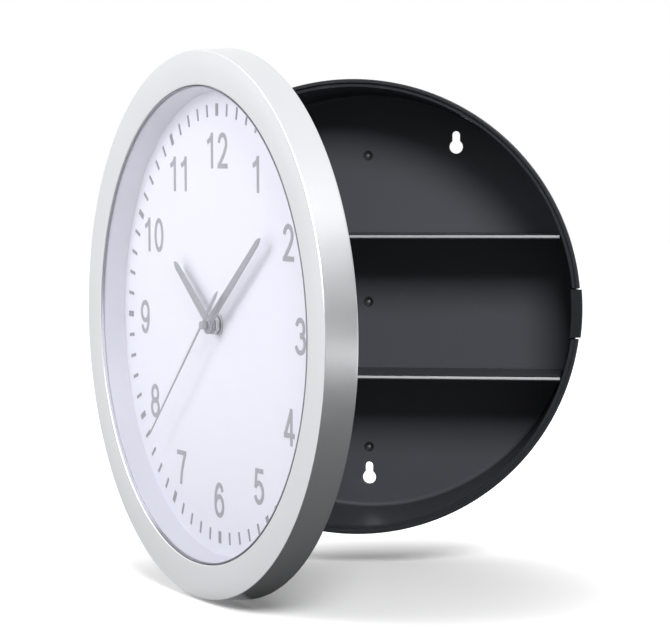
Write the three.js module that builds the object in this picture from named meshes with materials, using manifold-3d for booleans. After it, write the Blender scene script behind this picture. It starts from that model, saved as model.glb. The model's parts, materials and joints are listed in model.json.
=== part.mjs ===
// A round quartz wall clock whose whole front swings open as the door of a small hidden safe.
// Lengths are in millimetres and angles in degrees. +Z is up and +Y points into the wall.
// The origin is the centre of the flat back face of the case, which hangs against the wall.
import * as THREE from "three";
import { mergeVertices } from "three/addons/utils/BufferGeometryUtils.js";
import Module from "manifold-3d";

// Counts of flat sides that stand for a full circle
const ringSides = 72;
const hubSides = 20;
const smallSides = 10;
const curveSteps = 16;

// Fits shared by all pieces
const gap = 0.3;
const overrun = 1;

// Case
const caseDepth = 56;
const rimRadius = 111;
const rimFaceWidth = 1.8;
const rimBevel = 0.4;
const ledgeWidth = 2;
const ledgeDrop = 1.4;
const flangeThickness = 1.6;
const caseWall = 2;
const caseTaper = 2.6;
const caseBackWall = 2.2;
const caseBackBevel = 3;
const caseCornerBevel = 2;

// Keyholes in the back wall, given by the centre of the large end. The upper ones stand at a
// clock angle left and right of twelve, and each keyhole is some way in from the rim.
const keyholeHeadRadius = 3.4;
const keyholeSlotRadius = 1.95;
const keyholeRise = 5.9;
const upperKeyholeAngle = 29.8;
const upperKeyholeInset = 20.9;
const lowerKeyholeInset = 21.4;

// Moulded pips in shallow round dimples, one at the middle of each compartment
const dimpleInset = 37;
const dimpleRadius = 2.2;
const dimpleDepth = 0.8;
const pipRadius = 0.8;
const pipHeight = 0.6;

// Shelves and the ribs that carry their ends
const shelfSpacing = 68.6;
const shelfThickness = 1.8;
const shelfSetback = 3.7;
const shelfEdgeBevel = 0.5;
const ribThickness = 1.6;
const ribReach = 2.6;
const ribSetback = 9;

// The clock, the hinge and the latch share a centreline this far below the middle of the case
const doorDrop = 2.3;

// Latch tongue, freed from the case wall by two slits
const latchWidth = 24.5;
const latchSlit = 0.7;
const latchLength = 24;
const latchPad = 0.9;
const latchPadDepth = 5;
const latchBeadRise = 0.8;
const latchBeadDepth = 3;
const latchLeadIn = 0.6;

// Hinge
const hingeOffset = 4.4;
const hingeForward = 0.55;
const knuckleRadius = 3;
const knuckleLength = 8;
const knuckleSpread = 4;
const pinRadius = 1.2;
const hingeWebThickness = 2;
const hingeNotchMargin = 1;
const doorOpenAngle = 52.2;

// Door, measured forwards and backwards from the front face of the dial
const dialAheadOfRim = 3;
const bezelOverhang = 13;
const bezelFaceWidth = 16;
const openingBevel = 0.4;
const bezelFlare = 1.1;
const bezelSkirt = 3.7;
const bezelWall = 2;
const bezelEdgeBevel = 0.8;
const plateThickness = 1.8;
const plateFit = 0.5;

// Clear lens and the white sloped ring behind it
const lensThickness = 1.2;
const lensClearance = 1.2;
const surroundTopInset = 1;
const surroundSlope = 1.7;
const surroundWall = 1.2;
const surroundFlangeWidth = 2.6;
const surroundFlangeThickness = 1.2;

// Dial and its raised print
const dialThickness = 0.5;
const dialEdgeCover = 0.9;
const printHeight = 0.15;
const tickInset = 8.2;
const tickLength = 5.6;
const minuteTickWidth = 1;
const hourTickWidth = 2.2;
const numeralInset = 17.7;
const numeralHeight = 17.3;
const numeralWidth = 11.1;
const numeralPitch = 13.2;
const numeralStroke = 1.9;

// Catch on the back of the door
const catchWidth = 18;
const catchThickness = 2.4;
const catchLip = 0.5;
const catchLipThickness = 1.4;

// Screws that join the plate to the bezel
const coverScrewInset = 9;
const coverScrewAngles = [45, 135, 225, 315];
const screwHeadRadius = 2.6;
const screwHeadDepth = 1.2;
const screwShankRadius = 1.2;
const screwLength = 8;
const screwBossRadius = 3;

// Fixing of the movement through the dial
const bushingRadius = 3.4;
const rubberWasherRadius = 9;
const rubberWasherThickness = 0.8;
const brassWasherRadius = 5;
const brassWasherThickness = 0.6;
const nutRadius = 4.6;
const nutThickness = 2.2;
const nutSides = 6;

// Movement housing. Its width follows the battery, and its chamber reaches this far below and
// above the middle of the dial.
const chamberDrop = 10.8;
const chamberRise = 26.7;
const movementCoverThickness = 1.4;
const movementWall = 1.3;
const bayClearance = 0.7;
const bayWall = 1.2;
const cellProud = 0.7;

// Battery, a size AA cell, and its contacts
const cellRadius = 7;
const cellLength = 48.5;
const cellNubRadius = 2.6;
const cellNubLength = 1.6;
const contactThickness = 0.4;
const contactSpringRoom = 2.3;
const contactWidth = 9;
const contactBulge = 1.1;
const contactBulgeRadius = 2.5;

// Gear train. Every axis is placed from the distance and the clock angle to its neighbour.
const toothDepthShare = 1.1;
const meshGap = 0.1;
const arborRadius = 0.4;
const wheelThickness = 0.8;
const pinionThickness = 1.4;
const levelPitch = 1.6;
const secondsDistance = 9;
const secondsAngle = -43.6;
const rotorDistance = 7;
const rotorAngle = -64;
const thirdDistance = 8.5;
const thirdAngle = 49.4;
const motionDistance = 8;
const motionAngle = 116;
const knobAngle = 79;
const rotorPinionTeeth = 10;
const intermediateWheelTeeth = 60;
const intermediatePinionTeeth = 10;
const secondsWheelTeeth = 50;
const secondsPinionTeeth = 8;
const thirdWheelTeeth = 60;
const thirdPinionTeeth = 8;
const centreWheelTeeth = 64;
const cannonTeeth = 12;
const transferWheelTeeth = 36;
const transferPinionTeeth = 10;
const hourWheelTeeth = 40;
const knobGearTeeth = 18;

// Nested tubes that carry the hands, as radii
const secondsShaftRadius = 0.45;
const minuteTubeRadius = 1.45;
const hourTubeRadius = 2.45;

// Stepping motor and circuit
const magnetRadius = 2.6;
const magnetLength = 4;
const statorThickness = 1.2;
const statorBore = 3.1;
const statorRingWidth = 1.6;
const statorArmWidth = 3.6;
const coilRadius = 3.4;
const coilLength = 17;
const coilX = -5;
const coilZ = 19.5;
const coilCoreReach = 5;
const statorElbowRise = 1.9;
const postRadius = 1.4;
const boardWidth = 13;
const boardHeight = 15;
const boardThickness = 0.8;
const chipRadius = 2;
const chipHeight = 0.7;
const crystalRadius = 1;
const crystalLength = 6;

// Setting knob at the back of the movement
const knobRadius = 5;
const knobThickness = 2;
const knobShaftRadius = 1.2;
const knobRibs = 18;
const knobRibDepth = 0.4;

// Hands, by the pitch from one blade to the next, width and how far each tip stays inside the
// ring of ticks
const bladeThickness = 0.6;
const hourHandInset = 50.4;
const hourHandBase = 5.2;
const hourHandTip = 3.4;
const minuteHandPitch = 1.3;
const minuteHandInset = 30.1;
const minuteHandBase = 4.6;
const minuteHandTip = 3;
const handPoint = 4;
const handHubRadius = 4.2;
const secondHandPitch = 3;
const secondHandInset = 16.9;
const secondHandBase = 1.3;
const secondHandTip = 0.7;
const secondTailReach = 23.6;
const secondTailWidth = 3;
const secondTailPointLength = 12;
const secondBladeThickness = 0.4;
const secondBossRadius = 1.9;
const secondBossHeight = 2.6;
const secondBossNose = 0.5;
const tubeEngagement = 0.5;
const hourHandAngle = 305.9;
const minuteHandAngle = 52.8;
const secondHandAngle = 226.6;

const wasm = await Module();
wasm.setup();

const degree = Math.PI / 180;

// Solids. A solid is a manifold made from the vertices and triangles of a three.js geometry.

function solid(geometry) {
  const bare = geometry.index ? geometry : mergeVertices(geometry);
  bare.deleteAttribute("normal");
  bare.deleteAttribute("uv");
  const merged = mergeVertices(bare);
  const made = new wasm.Manifold(
    new wasm.Mesh({
      numProp: 3,
      vertProperties: merged.attributes.position.array,
      triVerts: new Uint32Array(merged.index.array),
    }),
  );
  return made;
}

function join(first, ...rest) {
  return rest.reduce((sum, piece) => sum.add(piece), first);
}

function cut(first, ...tools) {
  return tools.reduce((left, tool) => left.subtract(tool), first);
}

// A block between two corners
function block(x0, x1, y0, y1, z0, z1) {
  const box = new THREE.BoxGeometry(x1 - x0, y1 - y0, z1 - z0);
  box.translate((x0 + x1) / 2, (y0 + y1) / 2, (z0 + z1) / 2);
  return solid(box);
}

// A ring or disc turned about the Y axis from a closed row of radius and depth pairs
function turned(profile, sides = ringSides) {
  let area = 0;
  profile.forEach(([r0, y0], i) => {
    const [r1, y1] = profile[(i + 1) % profile.length];
    area += r0 * y1 - r1 * y0;
  });
  const ordered = area > 0 ? profile : [...profile].reverse();
  const points = [...ordered, ordered[0]].map(([r, y]) => new THREE.Vector2(r, y));
  return solid(new THREE.LatheGeometry(points, sides));
}

// A round rod along Y between two depths, with its middle at x and z
function rod(x, z, radius, y0, y1, sides = smallSides) {
  const cylinder = new THREE.CylinderGeometry(radius, radius, y1 - y0, sides);
  cylinder.translate(x, (y0 + y1) / 2, z);
  return solid(cylinder);
}

// A tube along Y, round outside and inside
function tube(radius, bore, y0, y1, sides = hubSides) {
  return turned(
    [
      [bore, y0],
      [radius, y0],
      [radius, y1],
      [bore, y1],
    ],
    sides,
  );
}

// An upright round rod between two heights
function post(x, y, radius, z0, z1, sides = smallSides) {
  const cylinder = new THREE.CylinderGeometry(radius, radius, z1 - z0, sides);
  cylinder.rotateX(Math.PI / 2);
  cylinder.translate(x, y, (z0 + z1) / 2);
  return solid(cylinder);
}

// A flat shape drawn in X and Z, made solid between two depths
function prism(shape, y0, y1) {
  const body = new THREE.ExtrudeGeometry(shape, {
    depth: y1 - y0,
    bevelEnabled: false,
    curveSegments: curveSteps / 2,
  });
  body.rotateX(Math.PI / 2);
  body.translate(0, y1, 0);
  return solid(body);
}

function outline(points) {
  return new THREE.Shape(points.map(([x, z]) => new THREE.Vector2(x, z)));
}

// A place in X and Z at a distance and a clock angle from another place
function atClockAngle([x, z], distance, angle) {
  return [x + distance * Math.sin(angle * degree), z + distance * Math.cos(angle * degree)];
}

// Named meshes

const group = new THREE.Group();

function addPiece(parent, name, made, look) {
  const data = made.getMesh();
  const geometry = new THREE.BufferGeometry();
  geometry.setAttribute("position", new THREE.BufferAttribute(new Float32Array(data.vertProperties), 3));
  geometry.setIndex(new THREE.BufferAttribute(new Uint32Array(data.triVerts), 1));
  geometry.computeVertexNormals();
  const mesh = new THREE.Mesh(geometry, new THREE.MeshStandardMaterial(look));
  mesh.name = name;
  parent.add(mesh);
  return mesh;
}

const looks = {
  blackPlastic: { color: 0x1d1e21, roughness: 0.42, metalness: 0 },
  silverPaint: { color: 0xdfe0e2, roughness: 0.3, metalness: 0.25 },
  whitePlastic: { color: 0xe9e9f2, roughness: 0.35, metalness: 0 },
  dialCard: { color: 0xeeeef8, roughness: 0.55, metalness: 0 },
  clearPlastic: { color: 0xf4f7f8, roughness: 0.05, metalness: 0, transparent: true, opacity: 0.18 },
  greyMetal: { color: 0xa9abb1, roughness: 0.35, metalness: 0.8 },
  steel: { color: 0xb9babd, roughness: 0.3, metalness: 1 },
  brass: { color: 0xc9a75a, roughness: 0.3, metalness: 1 },
  rubber: { color: 0x17181a, roughness: 0.85, metalness: 0 },
  gearPlastic: { color: 0xe8e6dc, roughness: 0.4, metalness: 0 },
  copper: { color: 0xa85a32, roughness: 0.35, metalness: 0.7 },
  board: { color: 0x2d5a3a, roughness: 0.5, metalness: 0 },
  cellWrap: { color: 0x3c4148, roughness: 0.35, metalness: 0.3 },
};

// Case. Depths run from the back face at zero to the rim at minus caseDepth.

const rimY = -caseDepth;
const ledgeY = rimY + ledgeDrop;
const flangeBackY = ledgeY + flangeThickness;
const backInnerY = -caseBackWall;
const wallFrontRadius = rimRadius - rimFaceWidth - ledgeWidth;

// Inner radius of the side wall, which narrows evenly from the ledge to the back wall
function caseInnerRadius(y) {
  return wallFrontRadius - (caseTaper * (y - ledgeY)) / (backInnerY - ledgeY);
}

function caseOuterRadius(y) {
  return caseInnerRadius(y) + caseWall;
}

const caseCup = turned([
  [0, 0],
  [caseOuterRadius(0) - caseBackBevel, 0],
  [caseOuterRadius(-caseBackBevel), -caseBackBevel],
  [caseOuterRadius(flangeBackY), flangeBackY],
  [rimRadius, flangeBackY],
  [rimRadius, rimY + rimBevel],
  [rimRadius - rimBevel, rimY],
  [rimRadius - rimFaceWidth, rimY],
  [rimRadius - rimFaceWidth, ledgeY],
  [wallFrontRadius, ledgeY],
  [caseInnerRadius(backInnerY - caseCornerBevel), backInnerY - caseCornerBevel],
  [caseInnerRadius(backInnerY) - caseCornerBevel, backInnerY],
  [0, backInnerY],
]);

const keyholePlaces = [
  atClockAngle([0, 0], rimRadius - upperKeyholeInset, -upperKeyholeAngle),
  atClockAngle([0, 0], rimRadius - upperKeyholeInset, upperKeyholeAngle),
  [0, lowerKeyholeInset - rimRadius],
];

function keyhole(x, z) {
  const y0 = backInnerY - overrun;
  const slotTop = z + keyholeRise;
  return join(
    rod(x, z, keyholeHeadRadius, y0, overrun, hubSides),
    rod(x, slotTop, keyholeSlotRadius, y0, overrun, hubSides),
    block(x - keyholeSlotRadius, x + keyholeSlotRadius, y0, overrun, z, slotTop),
  );
}

function dimple(z) {
  return rod(0, z, dimpleRadius, backInnerY - overrun, backInnerY + dimpleDepth);
}

function pip(z) {
  const floorY = backInnerY + dimpleDepth;
  return rod(0, z, pipRadius, floorY - pipHeight, floorY + caseBackWall / 4);
}

// Half the straight width of the case at a depth and a height
function caseHalfWidth(y, z) {
  return Math.sqrt(caseInnerRadius(y) ** 2 - z ** 2);
}

// The rib under each shelf end follows the wall and sinks into it, so it is one with the case
function shelfRib(side, topZ) {
  const frontY = rimY + shelfSetback + ribSetback;
  const lowZ = topZ - ribThickness;
  const farZ = Math.max(Math.abs(topZ), Math.abs(lowZ));
  const wallShare = caseWall / 2;
  const x0 = caseHalfWidth(frontY, farZ) - ribReach;
  const x1 = caseHalfWidth(backInnerY, farZ) - ribReach;
  const shape = [
    [x0, frontY],
    [caseHalfWidth(frontY, farZ) + wallShare, frontY],
    [caseHalfWidth(backInnerY, farZ) + wallShare, backInnerY + caseBackWall / 2],
    [x1, backInnerY + caseBackWall / 2],
  ].map(([x, y]) => [side * x, y]);
  return slab(shape, lowZ, topZ);
}

// A flat shape drawn in X and Y, made solid between two heights
function slab(points, z0, z1) {
  const body = new THREE.ExtrudeGeometry(outline(points), { depth: z1 - z0, bevelEnabled: false });
  body.translate(0, 0, z0);
  return solid(body);
}

const shelfTops = [shelfSpacing / 2 + shelfThickness / 2, -shelfSpacing / 2 + shelfThickness / 2];

// Hinge line, on the left beside the rim
const hingeX = -(rimRadius + hingeOffset);
const hingeY = rimY - hingeForward;
const hingeZ = -doorDrop;
const caseKnuckleStart = knuckleSpread;
const caseKnuckleEnd = knuckleSpread + knuckleLength;
const doorKnuckleStart = caseKnuckleEnd + gap;
const doorKnuckleEnd = doorKnuckleStart + knuckleLength;

function hingeEar(side) {
  const z0 = Math.min(side * caseKnuckleStart, side * caseKnuckleEnd) + hingeZ;
  const z1 = z0 + knuckleLength;
  return join(
    post(hingeX, hingeY, knuckleRadius, z0, z1, hubSides),
    block(
      hingeX - knuckleRadius / 2,
      -(wallFrontRadius + caseWall / 2),
      ledgeY,
      ledgeY + hingeWebThickness,
      z0,
      z1,
    ),
  );
}

const latchZ = -doorDrop;
const latchRootY = rimY + latchLength;
const latchWindow = block(
  rimRadius / 2,
  rimRadius + overrun,
  rimY - overrun,
  latchRootY,
  latchZ - latchWidth / 2,
  latchZ + latchWidth / 2,
);

const pinBore = post(
  hingeX,
  hingeY,
  pinRadius + gap,
  hingeZ - caseKnuckleEnd - overrun,
  hingeZ + caseKnuckleEnd + overrun,
);

const dimpleHeights = [rimRadius - dimpleInset, 0, dimpleInset - rimRadius];

const caseShell = cut(
  join(
    cut(
      caseCup,
      ...keyholePlaces.map(([x, z]) => keyhole(x, z)),
      ...dimpleHeights.map(dimple),
    ),
    ...dimpleHeights.map(pip),
    ...shelfTops.flatMap((top) => [-1, 1].map((side) => shelfRib(side, top - shelfThickness - gap))),
    hingeEar(-1),
    hingeEar(1),
  ),
  latchWindow,
  pinBore,
);
addPiece(group, "case_shell", caseShell, looks.blackPlastic);

// Latch tongue: a strip of the side wall with a bead outside its front end and a pad inside it
const beadBackY = rimY + latchBeadDepth;
const beadRadius = rimRadius + latchBeadRise;
const padRadius = wallFrontRadius - latchPad;
const latchTailY = latchRootY - gap;
const latchRing = turned([
  [caseInnerRadius(latchTailY), latchTailY],
  [caseOuterRadius(latchTailY), latchTailY],
  [caseOuterRadius(beadBackY), beadBackY],
  [beadRadius, beadBackY],
  [beadRadius, rimY + latchLeadIn],
  [beadRadius - latchLeadIn, rimY],
  [padRadius, rimY],
  [padRadius, rimY + latchPadDepth],
  [caseInnerRadius(rimY + latchPadDepth + latchPad), rimY + latchPadDepth + latchPad],
]);
const latchTongue = latchRing.intersect(
  block(
    rimRadius / 2,
    beadRadius + overrun,
    rimY - overrun,
    latchRootY,
    latchZ - latchWidth / 2 + latchSlit,
    latchZ + latchWidth / 2 - latchSlit,
  ),
);
addPiece(group, "latch_tongue", latchTongue, looks.blackPlastic);

// Shelves: flat boards cut to the narrowing width of the case, with an eased front edge
function shelf(topZ) {
  const frontY = rimY + shelfSetback;
  const backY = backInnerY - gap;
  const lowZ = topZ - shelfThickness;
  const farZ = Math.max(Math.abs(topZ), Math.abs(lowZ));
  const front = caseHalfWidth(frontY, farZ) - gap;
  const back = caseHalfWidth(backY - caseCornerBevel, farZ) - gap;
  const cornerCut = caseCornerBevel + gap;
  const board = slab(
    [
      [-front, frontY],
      [front, frontY],
      [back, backY - cornerCut],
      [back - cornerCut, backY],
      [-(back - cornerCut), backY],
      [-back, backY - cornerCut],
    ],
    lowZ,
    topZ,
  );
  const ease = new THREE.CylinderGeometry(shelfEdgeBevel, shelfEdgeBevel, rimRadius * 2, 4);
  ease.rotateZ(Math.PI / 2);
  ease.translate(0, frontY, topZ);
  return cut(board, solid(ease));
}

addPiece(group, "upper_shelf", shelf(shelfTops[0]), looks.blackPlastic);
addPiece(group, "lower_shelf", shelf(shelfTops[1]), looks.blackPlastic);

addPiece(
  group,
  "hinge_pin",
  post(hingeX, hingeY, pinRadius, hingeZ - doorKnuckleEnd, hingeZ + doorKnuckleEnd),
  looks.steel,
);

// Heights above the dial of the neck of the movement and of the middle of each hand's blade
const bushingHeight = brassWasherThickness + nutThickness + 3 * gap;
const hourHandHeight = bushingHeight + bladeThickness / 2 + gap;
const minuteHandHeight = hourHandHeight + minuteHandPitch;
const secondHandHeight = minuteHandHeight + secondHandPitch;
const bezelHeight = secondHandHeight + secondBossNose + lensClearance + lensThickness + gap;

// Door. The outer group turns about the hinge line. The inner group has its origin at the
// middle of the front face of the dial, with the viewer of the clock on the minus Y side.
const dialY = rimY - dialAheadOfRim;
const bezelFrontRadius = rimRadius + bezelOverhang;
const openingRadius = bezelFrontRadius - bezelFaceWidth;
const door = new THREE.Group();
door.position.set(hingeX, hingeY, hingeZ);
door.rotation.z = -doorOpenAngle * degree;
group.add(door);
const clock = new THREE.Group();
clock.position.set(-hingeX, dialY - hingeY, 0);
door.add(clock);

// Hinge line as seen from the dial
const pivotX = hingeX;
const pivotY = hingeY - dialY;

// Outer radius of the bezel at a depth, from its front face to the end of its skirt
function bezelRadius(y) {
  return bezelFrontRadius + (bezelFlare * (y + bezelHeight)) / (bezelHeight + bezelSkirt);
}

const bezelBackFaceY = -bezelHeight + bezelWall;
const plateFrontY = dialThickness + gap;
const plateBackY = plateFrontY + plateThickness;

const coverScrewCircle = bezelFrontRadius - coverScrewInset;
const screwPlaces = coverScrewAngles.map((angle) => atClockAngle([0, 0], coverScrewCircle, angle));
const screwBossEnd = plateFrontY - gap;
const screwTipY = plateBackY - screwLength;

const bezelRing = turned([
  [openingRadius, -bezelHeight + openingBevel],
  [openingRadius + openingBevel, -bezelHeight],
  [bezelFrontRadius - bezelEdgeBevel, -bezelHeight],
  [bezelRadius(-bezelHeight + bezelEdgeBevel), -bezelHeight + bezelEdgeBevel],
  [bezelRadius(bezelSkirt), bezelSkirt],
  [bezelRadius(bezelSkirt) - bezelWall, bezelSkirt],
  [bezelRadius(bezelBackFaceY) - bezelWall, bezelBackFaceY],
  [openingRadius, bezelBackFaceY],
]);
const doorBezel = cut(
  join(
    bezelRing,
    ...screwPlaces.map(([x, z]) => rod(x, z, screwBossRadius, bezelBackFaceY - bezelWall / 2, screwBossEnd)),
  ),
  ...screwPlaces.map(([x, z]) => rod(x, z, screwShankRadius + gap, screwTipY - gap, screwBossEnd + overrun)),
);
addPiece(clock, "door_bezel", doorBezel, looks.silverPaint);

// Lens, set just behind the front face of the bezel
const lensFrontY = -bezelHeight + gap;
const lensBackY = lensFrontY + lensThickness;
addPiece(
  clock,
  "lens",
  turned([
    [0, lensFrontY],
    [openingRadius - gap - openingBevel / 2, lensFrontY],
    [openingRadius - gap - openingBevel / 2, lensBackY],
    [0, lensBackY],
  ]),
  looks.clearPlastic,
);

// White ring that slopes from the lens down to the dial
const surroundTopRadius = openingRadius - surroundTopInset;
const surroundBaseRadius = surroundTopRadius - surroundSlope;
const surroundTopY = lensBackY + gap;
const surroundBaseY = -gap;
const surroundFlangeTop = bezelBackFaceY + gap;
const surroundFlangeLow = surroundFlangeTop + surroundFlangeThickness;

function surroundInner(y) {
  const share = (surroundBaseY - y) / (surroundBaseY - surroundTopY);
  return surroundBaseRadius + (surroundTopRadius - surroundBaseRadius) * share;
}

const surroundNeck = openingRadius - gap;
addPiece(
  clock,
  "dial_surround",
  turned([
    [surroundBaseRadius, surroundBaseY],
    [surroundBaseRadius + surroundWall, surroundBaseY],
    [surroundInner(surroundFlangeLow) + surroundWall, surroundFlangeLow],
    [surroundInner(surroundFlangeLow) + surroundWall + surroundFlangeWidth, surroundFlangeLow],
    [surroundInner(surroundFlangeLow) + surroundWall + surroundFlangeWidth, surroundFlangeTop],
    [surroundNeck, surroundFlangeTop],
    [surroundNeck, surroundTopY],
    [surroundTopRadius, surroundTopY],
  ]),
  looks.whitePlastic,
);

// Dial print. Numerals are drawn with a pen of even width along strokes in a unit square.

function arcPoints(cx, cz, rx, rz, from, to) {
  const steps = Math.max(2, Math.round((Math.abs(to - from) / 360) * curveSteps));
  return Array.from({ length: steps + 1 }, (_, i) => {
    const angle = (from + ((to - from) * i) / steps) * degree;
    return [cx + rx * Math.cos(angle), cz + rz * Math.sin(angle)];
  });
}

const numeralStrokeShares = {
  0: [{ ring: [0.5, 0.5, 0.5, 0.5] }],
  1: [{ line: [[0.62, 0], [0.62, 1]], square: true }, { line: [[0.62, 1], [0.5, 0.87], [0.26, 0.77]] }],
  2: [
    { line: [...arcPoints(0.5, 0.72, 0.47, 0.28, 175, -35), [0.62, 0.34], [0.24, 0.14], [0.03, 0]] },
    { line: [[0, 0], [1, 0]], square: true },
  ],
  3: [
    { line: arcPoints(0.48, 0.745, 0.44, 0.255, 165, -90) },
    { line: arcPoints(0.48, 0.27, 0.52, 0.27, 95, -165) },
  ],
  4: [
    { line: [[0.74, 0], [0.74, 1]], square: true },
    { line: [[0.74, 1], [0, 0.25]] },
    { line: [[0, 0.24], [1, 0.24]], square: true },
  ],
  5: [
    { line: [[0.2, 1], [0.9, 1]], square: true },
    { line: [[0.2, 1], [0.08, 0.44]] },
    { line: arcPoints(0.5, 0.31, 0.5, 0.31, 142, -160) },
  ],
  6: [{ ring: [0.5, 0.31, 0.5, 0.31] }, { line: arcPoints(0.52, 0.5, 0.52, 0.5, 35, 192) }],
  7: [
    { line: [[0, 1], [1, 1]], square: true },
    { line: [[1, 1], [0.72, 0.66], [0.5, 0.34], [0.38, -0.06]] },
  ],
  8: [{ ring: [0.5, 0.75, 0.42, 0.25] }, { ring: [0.5, 0.27, 0.5, 0.27] }],
};
numeralStrokeShares[9] = numeralStrokeShares[6].map((stroke) =>
  stroke.ring
    ? { ring: [1 - stroke.ring[0], 1 - stroke.ring[1], stroke.ring[2], stroke.ring[3]] }
    : { line: stroke.line.map(([x, z]) => [1 - x, 1 - z]) },
);

// A band of even width along a row of points, mitred where the row bends
function bandOutline(points, width, square) {
  const path = points.map(([x, z]) => new THREE.Vector2(x, z));
  if (square) {
    const last = path.length - 1;
    const startPull = path[0].clone().sub(path[1]).setLength(width / 2);
    const endPull = path[last].clone().sub(path[last - 1]).setLength(width / 2);
    path[0].add(startPull);
    path[last].add(endPull);
  }
  const left = [];
  const right = [];
  path.forEach((point, i) => {
    const before = path[Math.max(i - 1, 0)];
    const after = path[Math.min(i + 1, path.length - 1)];
    const into = (i ? point.clone().sub(before) : after.clone().sub(point)).normalize();
    const out = (i < path.length - 1 ? after.clone().sub(point) : point.clone().sub(before)).normalize();
    const along = into.clone().add(out).normalize();
    const across = new THREE.Vector2(-along.y, along.x).multiplyScalar(width / 2 / along.dot(into));
    left.push(point.clone().add(across));
    right.unshift(point.clone().sub(across));
  });
  return new THREE.Shape([...left, ...right]);
}

// The printed shapes of one numeral, with the middle of its box at x and z
function numeralShapes(digit, x, z) {
  const wide = numeralWidth - numeralStroke;
  const high = numeralHeight - numeralStroke;
  const place = ([sx, sz]) => [x + (sx - 0.5) * wide, z + (sz - 0.5) * high];
  return numeralStrokeShares[digit].map((stroke) => {
    if (stroke.line) return bandOutline(stroke.line.map(place), numeralStroke, stroke.square);
    const [cx, cz] = place(stroke.ring);
    const rx = stroke.ring[2] * wide;
    const rz = stroke.ring[3] * high;
    const pen = numeralStroke / 2;
    const ring = outline(arcPoints(cx, cz, rx + pen, rz + pen, 0, 360).slice(1));
    ring.holes.push(outline(arcPoints(cx, cz, rx - pen, rz - pen, 360, 0).slice(1)));
    return ring;
  });
}

const tickRadius = surroundBaseRadius - tickInset;
const numeralRadius = tickRadius - numeralInset;
const printRootY = dialThickness / 2;
const dialPrint = [];
for (let minute = 0; minute < 60; minute += 1) {
  const width = minute % 5 ? minuteTickWidth : hourTickWidth;
  const half = tickLength / 2;
  const corners = [
    [-width / 2, tickRadius - half],
    [width / 2, tickRadius - half],
    [width / 2, tickRadius + half],
    [-width / 2, tickRadius + half],
  ];
  const angle = minute * 6 * degree;
  const shape = outline(
    corners.map(([x, z]) => [
      x * Math.cos(angle) + z * Math.sin(angle),
      z * Math.cos(angle) - x * Math.sin(angle),
    ]),
  );
  dialPrint.push(prism(shape, -printHeight, printRootY));
}
for (let hour = 1; hour <= 12; hour += 1) {
  const [x, z] = atClockAngle([0, 0], numeralRadius, hour * 30);
  const digits = [...String(hour)];
  digits.forEach((digit, i) => {
    const shift = (i - (digits.length - 1) / 2) * numeralPitch;
    for (const shape of numeralShapes(digit, x + shift, z)) {
      dialPrint.push(prism(shape, -printHeight, printRootY));
    }
  });
}
const fixingHole = bushingRadius + gap;
const dialDisc = tube(surroundBaseRadius + dialEdgeCover, fixingHole, 0, dialThickness, ringSides);
addPiece(clock, "dial", wasm.Manifold.union([dialDisc, ...dialPrint]), looks.dialCard);

// Back plate of the door, with its knuckles and catch
const plateRadius = bezelRadius(plateFrontY) - bezelWall - plateFit;
const notchX = pivotX + knuckleRadius + hingeNotchMargin;
const notchHalf = doorKnuckleEnd + hingeNotchMargin;

// A countersunk screw, or with some spare the hole that it sits in
function countersunk(x, z, spare) {
  const profile = [
    [0, plateBackY + (spare ? overrun : -gap)],
    [screwHeadRadius + spare, plateBackY + (spare ? overrun : -gap)],
    [screwHeadRadius + spare, plateBackY - gap],
    [screwShankRadius + spare, plateBackY - gap - screwHeadDepth],
    [screwShankRadius + spare, spare ? plateFrontY - overrun : screwTipY],
    [0, spare ? plateFrontY - overrun : screwTipY],
  ].filter(([r, y], i, all) => i === 0 || r !== all[i - 1][0] || y !== all[i - 1][1]);
  return turned(profile, hubSides).translate([x, 0, z]);
}

function doorKnuckle(side) {
  const z0 = Math.min(side * doorKnuckleStart, side * doorKnuckleEnd);
  const z1 = z0 + knuckleLength;
  return join(
    post(pivotX, pivotY, knuckleRadius, z0, z1, hubSides),
    block(pivotX, notchX + hingeNotchMargin, plateFrontY, plateBackY - gap / 2, z0, z1),
  );
}

// The catch reaches behind the bead of the latch when the door is closed
const catchInnerX = beadRadius + gap + catchLip;
const catchLipFront = beadBackY + gap - dialY;
const catchEndY = catchLipFront + catchLipThickness;
const catchHalf = catchWidth / 2;
const catchRootY = plateBackY - plateThickness / 2;
const catchMiddleX = catchInnerX + catchThickness / 2;
const doorCatch = join(
  block(catchInnerX, catchInnerX + catchThickness, catchRootY, catchEndY, -catchHalf, catchHalf),
  block(beadRadius + gap, catchMiddleX, catchLipFront, catchEndY, -catchHalf, catchHalf),
);

const doorPlate = cut(
  join(
    cut(
      tube(plateRadius, fixingHole, plateFrontY, plateBackY, ringSides),
      block(
        -plateRadius - overrun,
        notchX,
        plateFrontY - overrun,
        plateBackY + overrun,
        -notchHalf,
        notchHalf,
      ),
      ...screwPlaces.map(([x, z]) => countersunk(x, z, gap)),
    ),
    doorKnuckle(-1),
    doorKnuckle(1),
    doorCatch,
  ),
  post(pivotX, pivotY, pinRadius + gap, -doorKnuckleEnd - overrun, doorKnuckleEnd + overrun),
);
addPiece(clock, "door_plate", doorPlate, looks.blackPlastic);

screwPlaces.forEach(([x, z], i) => {
  addPiece(clock, `cover_screw_${i + 1}`, countersunk(x, z, 0), looks.steel);
});

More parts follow.
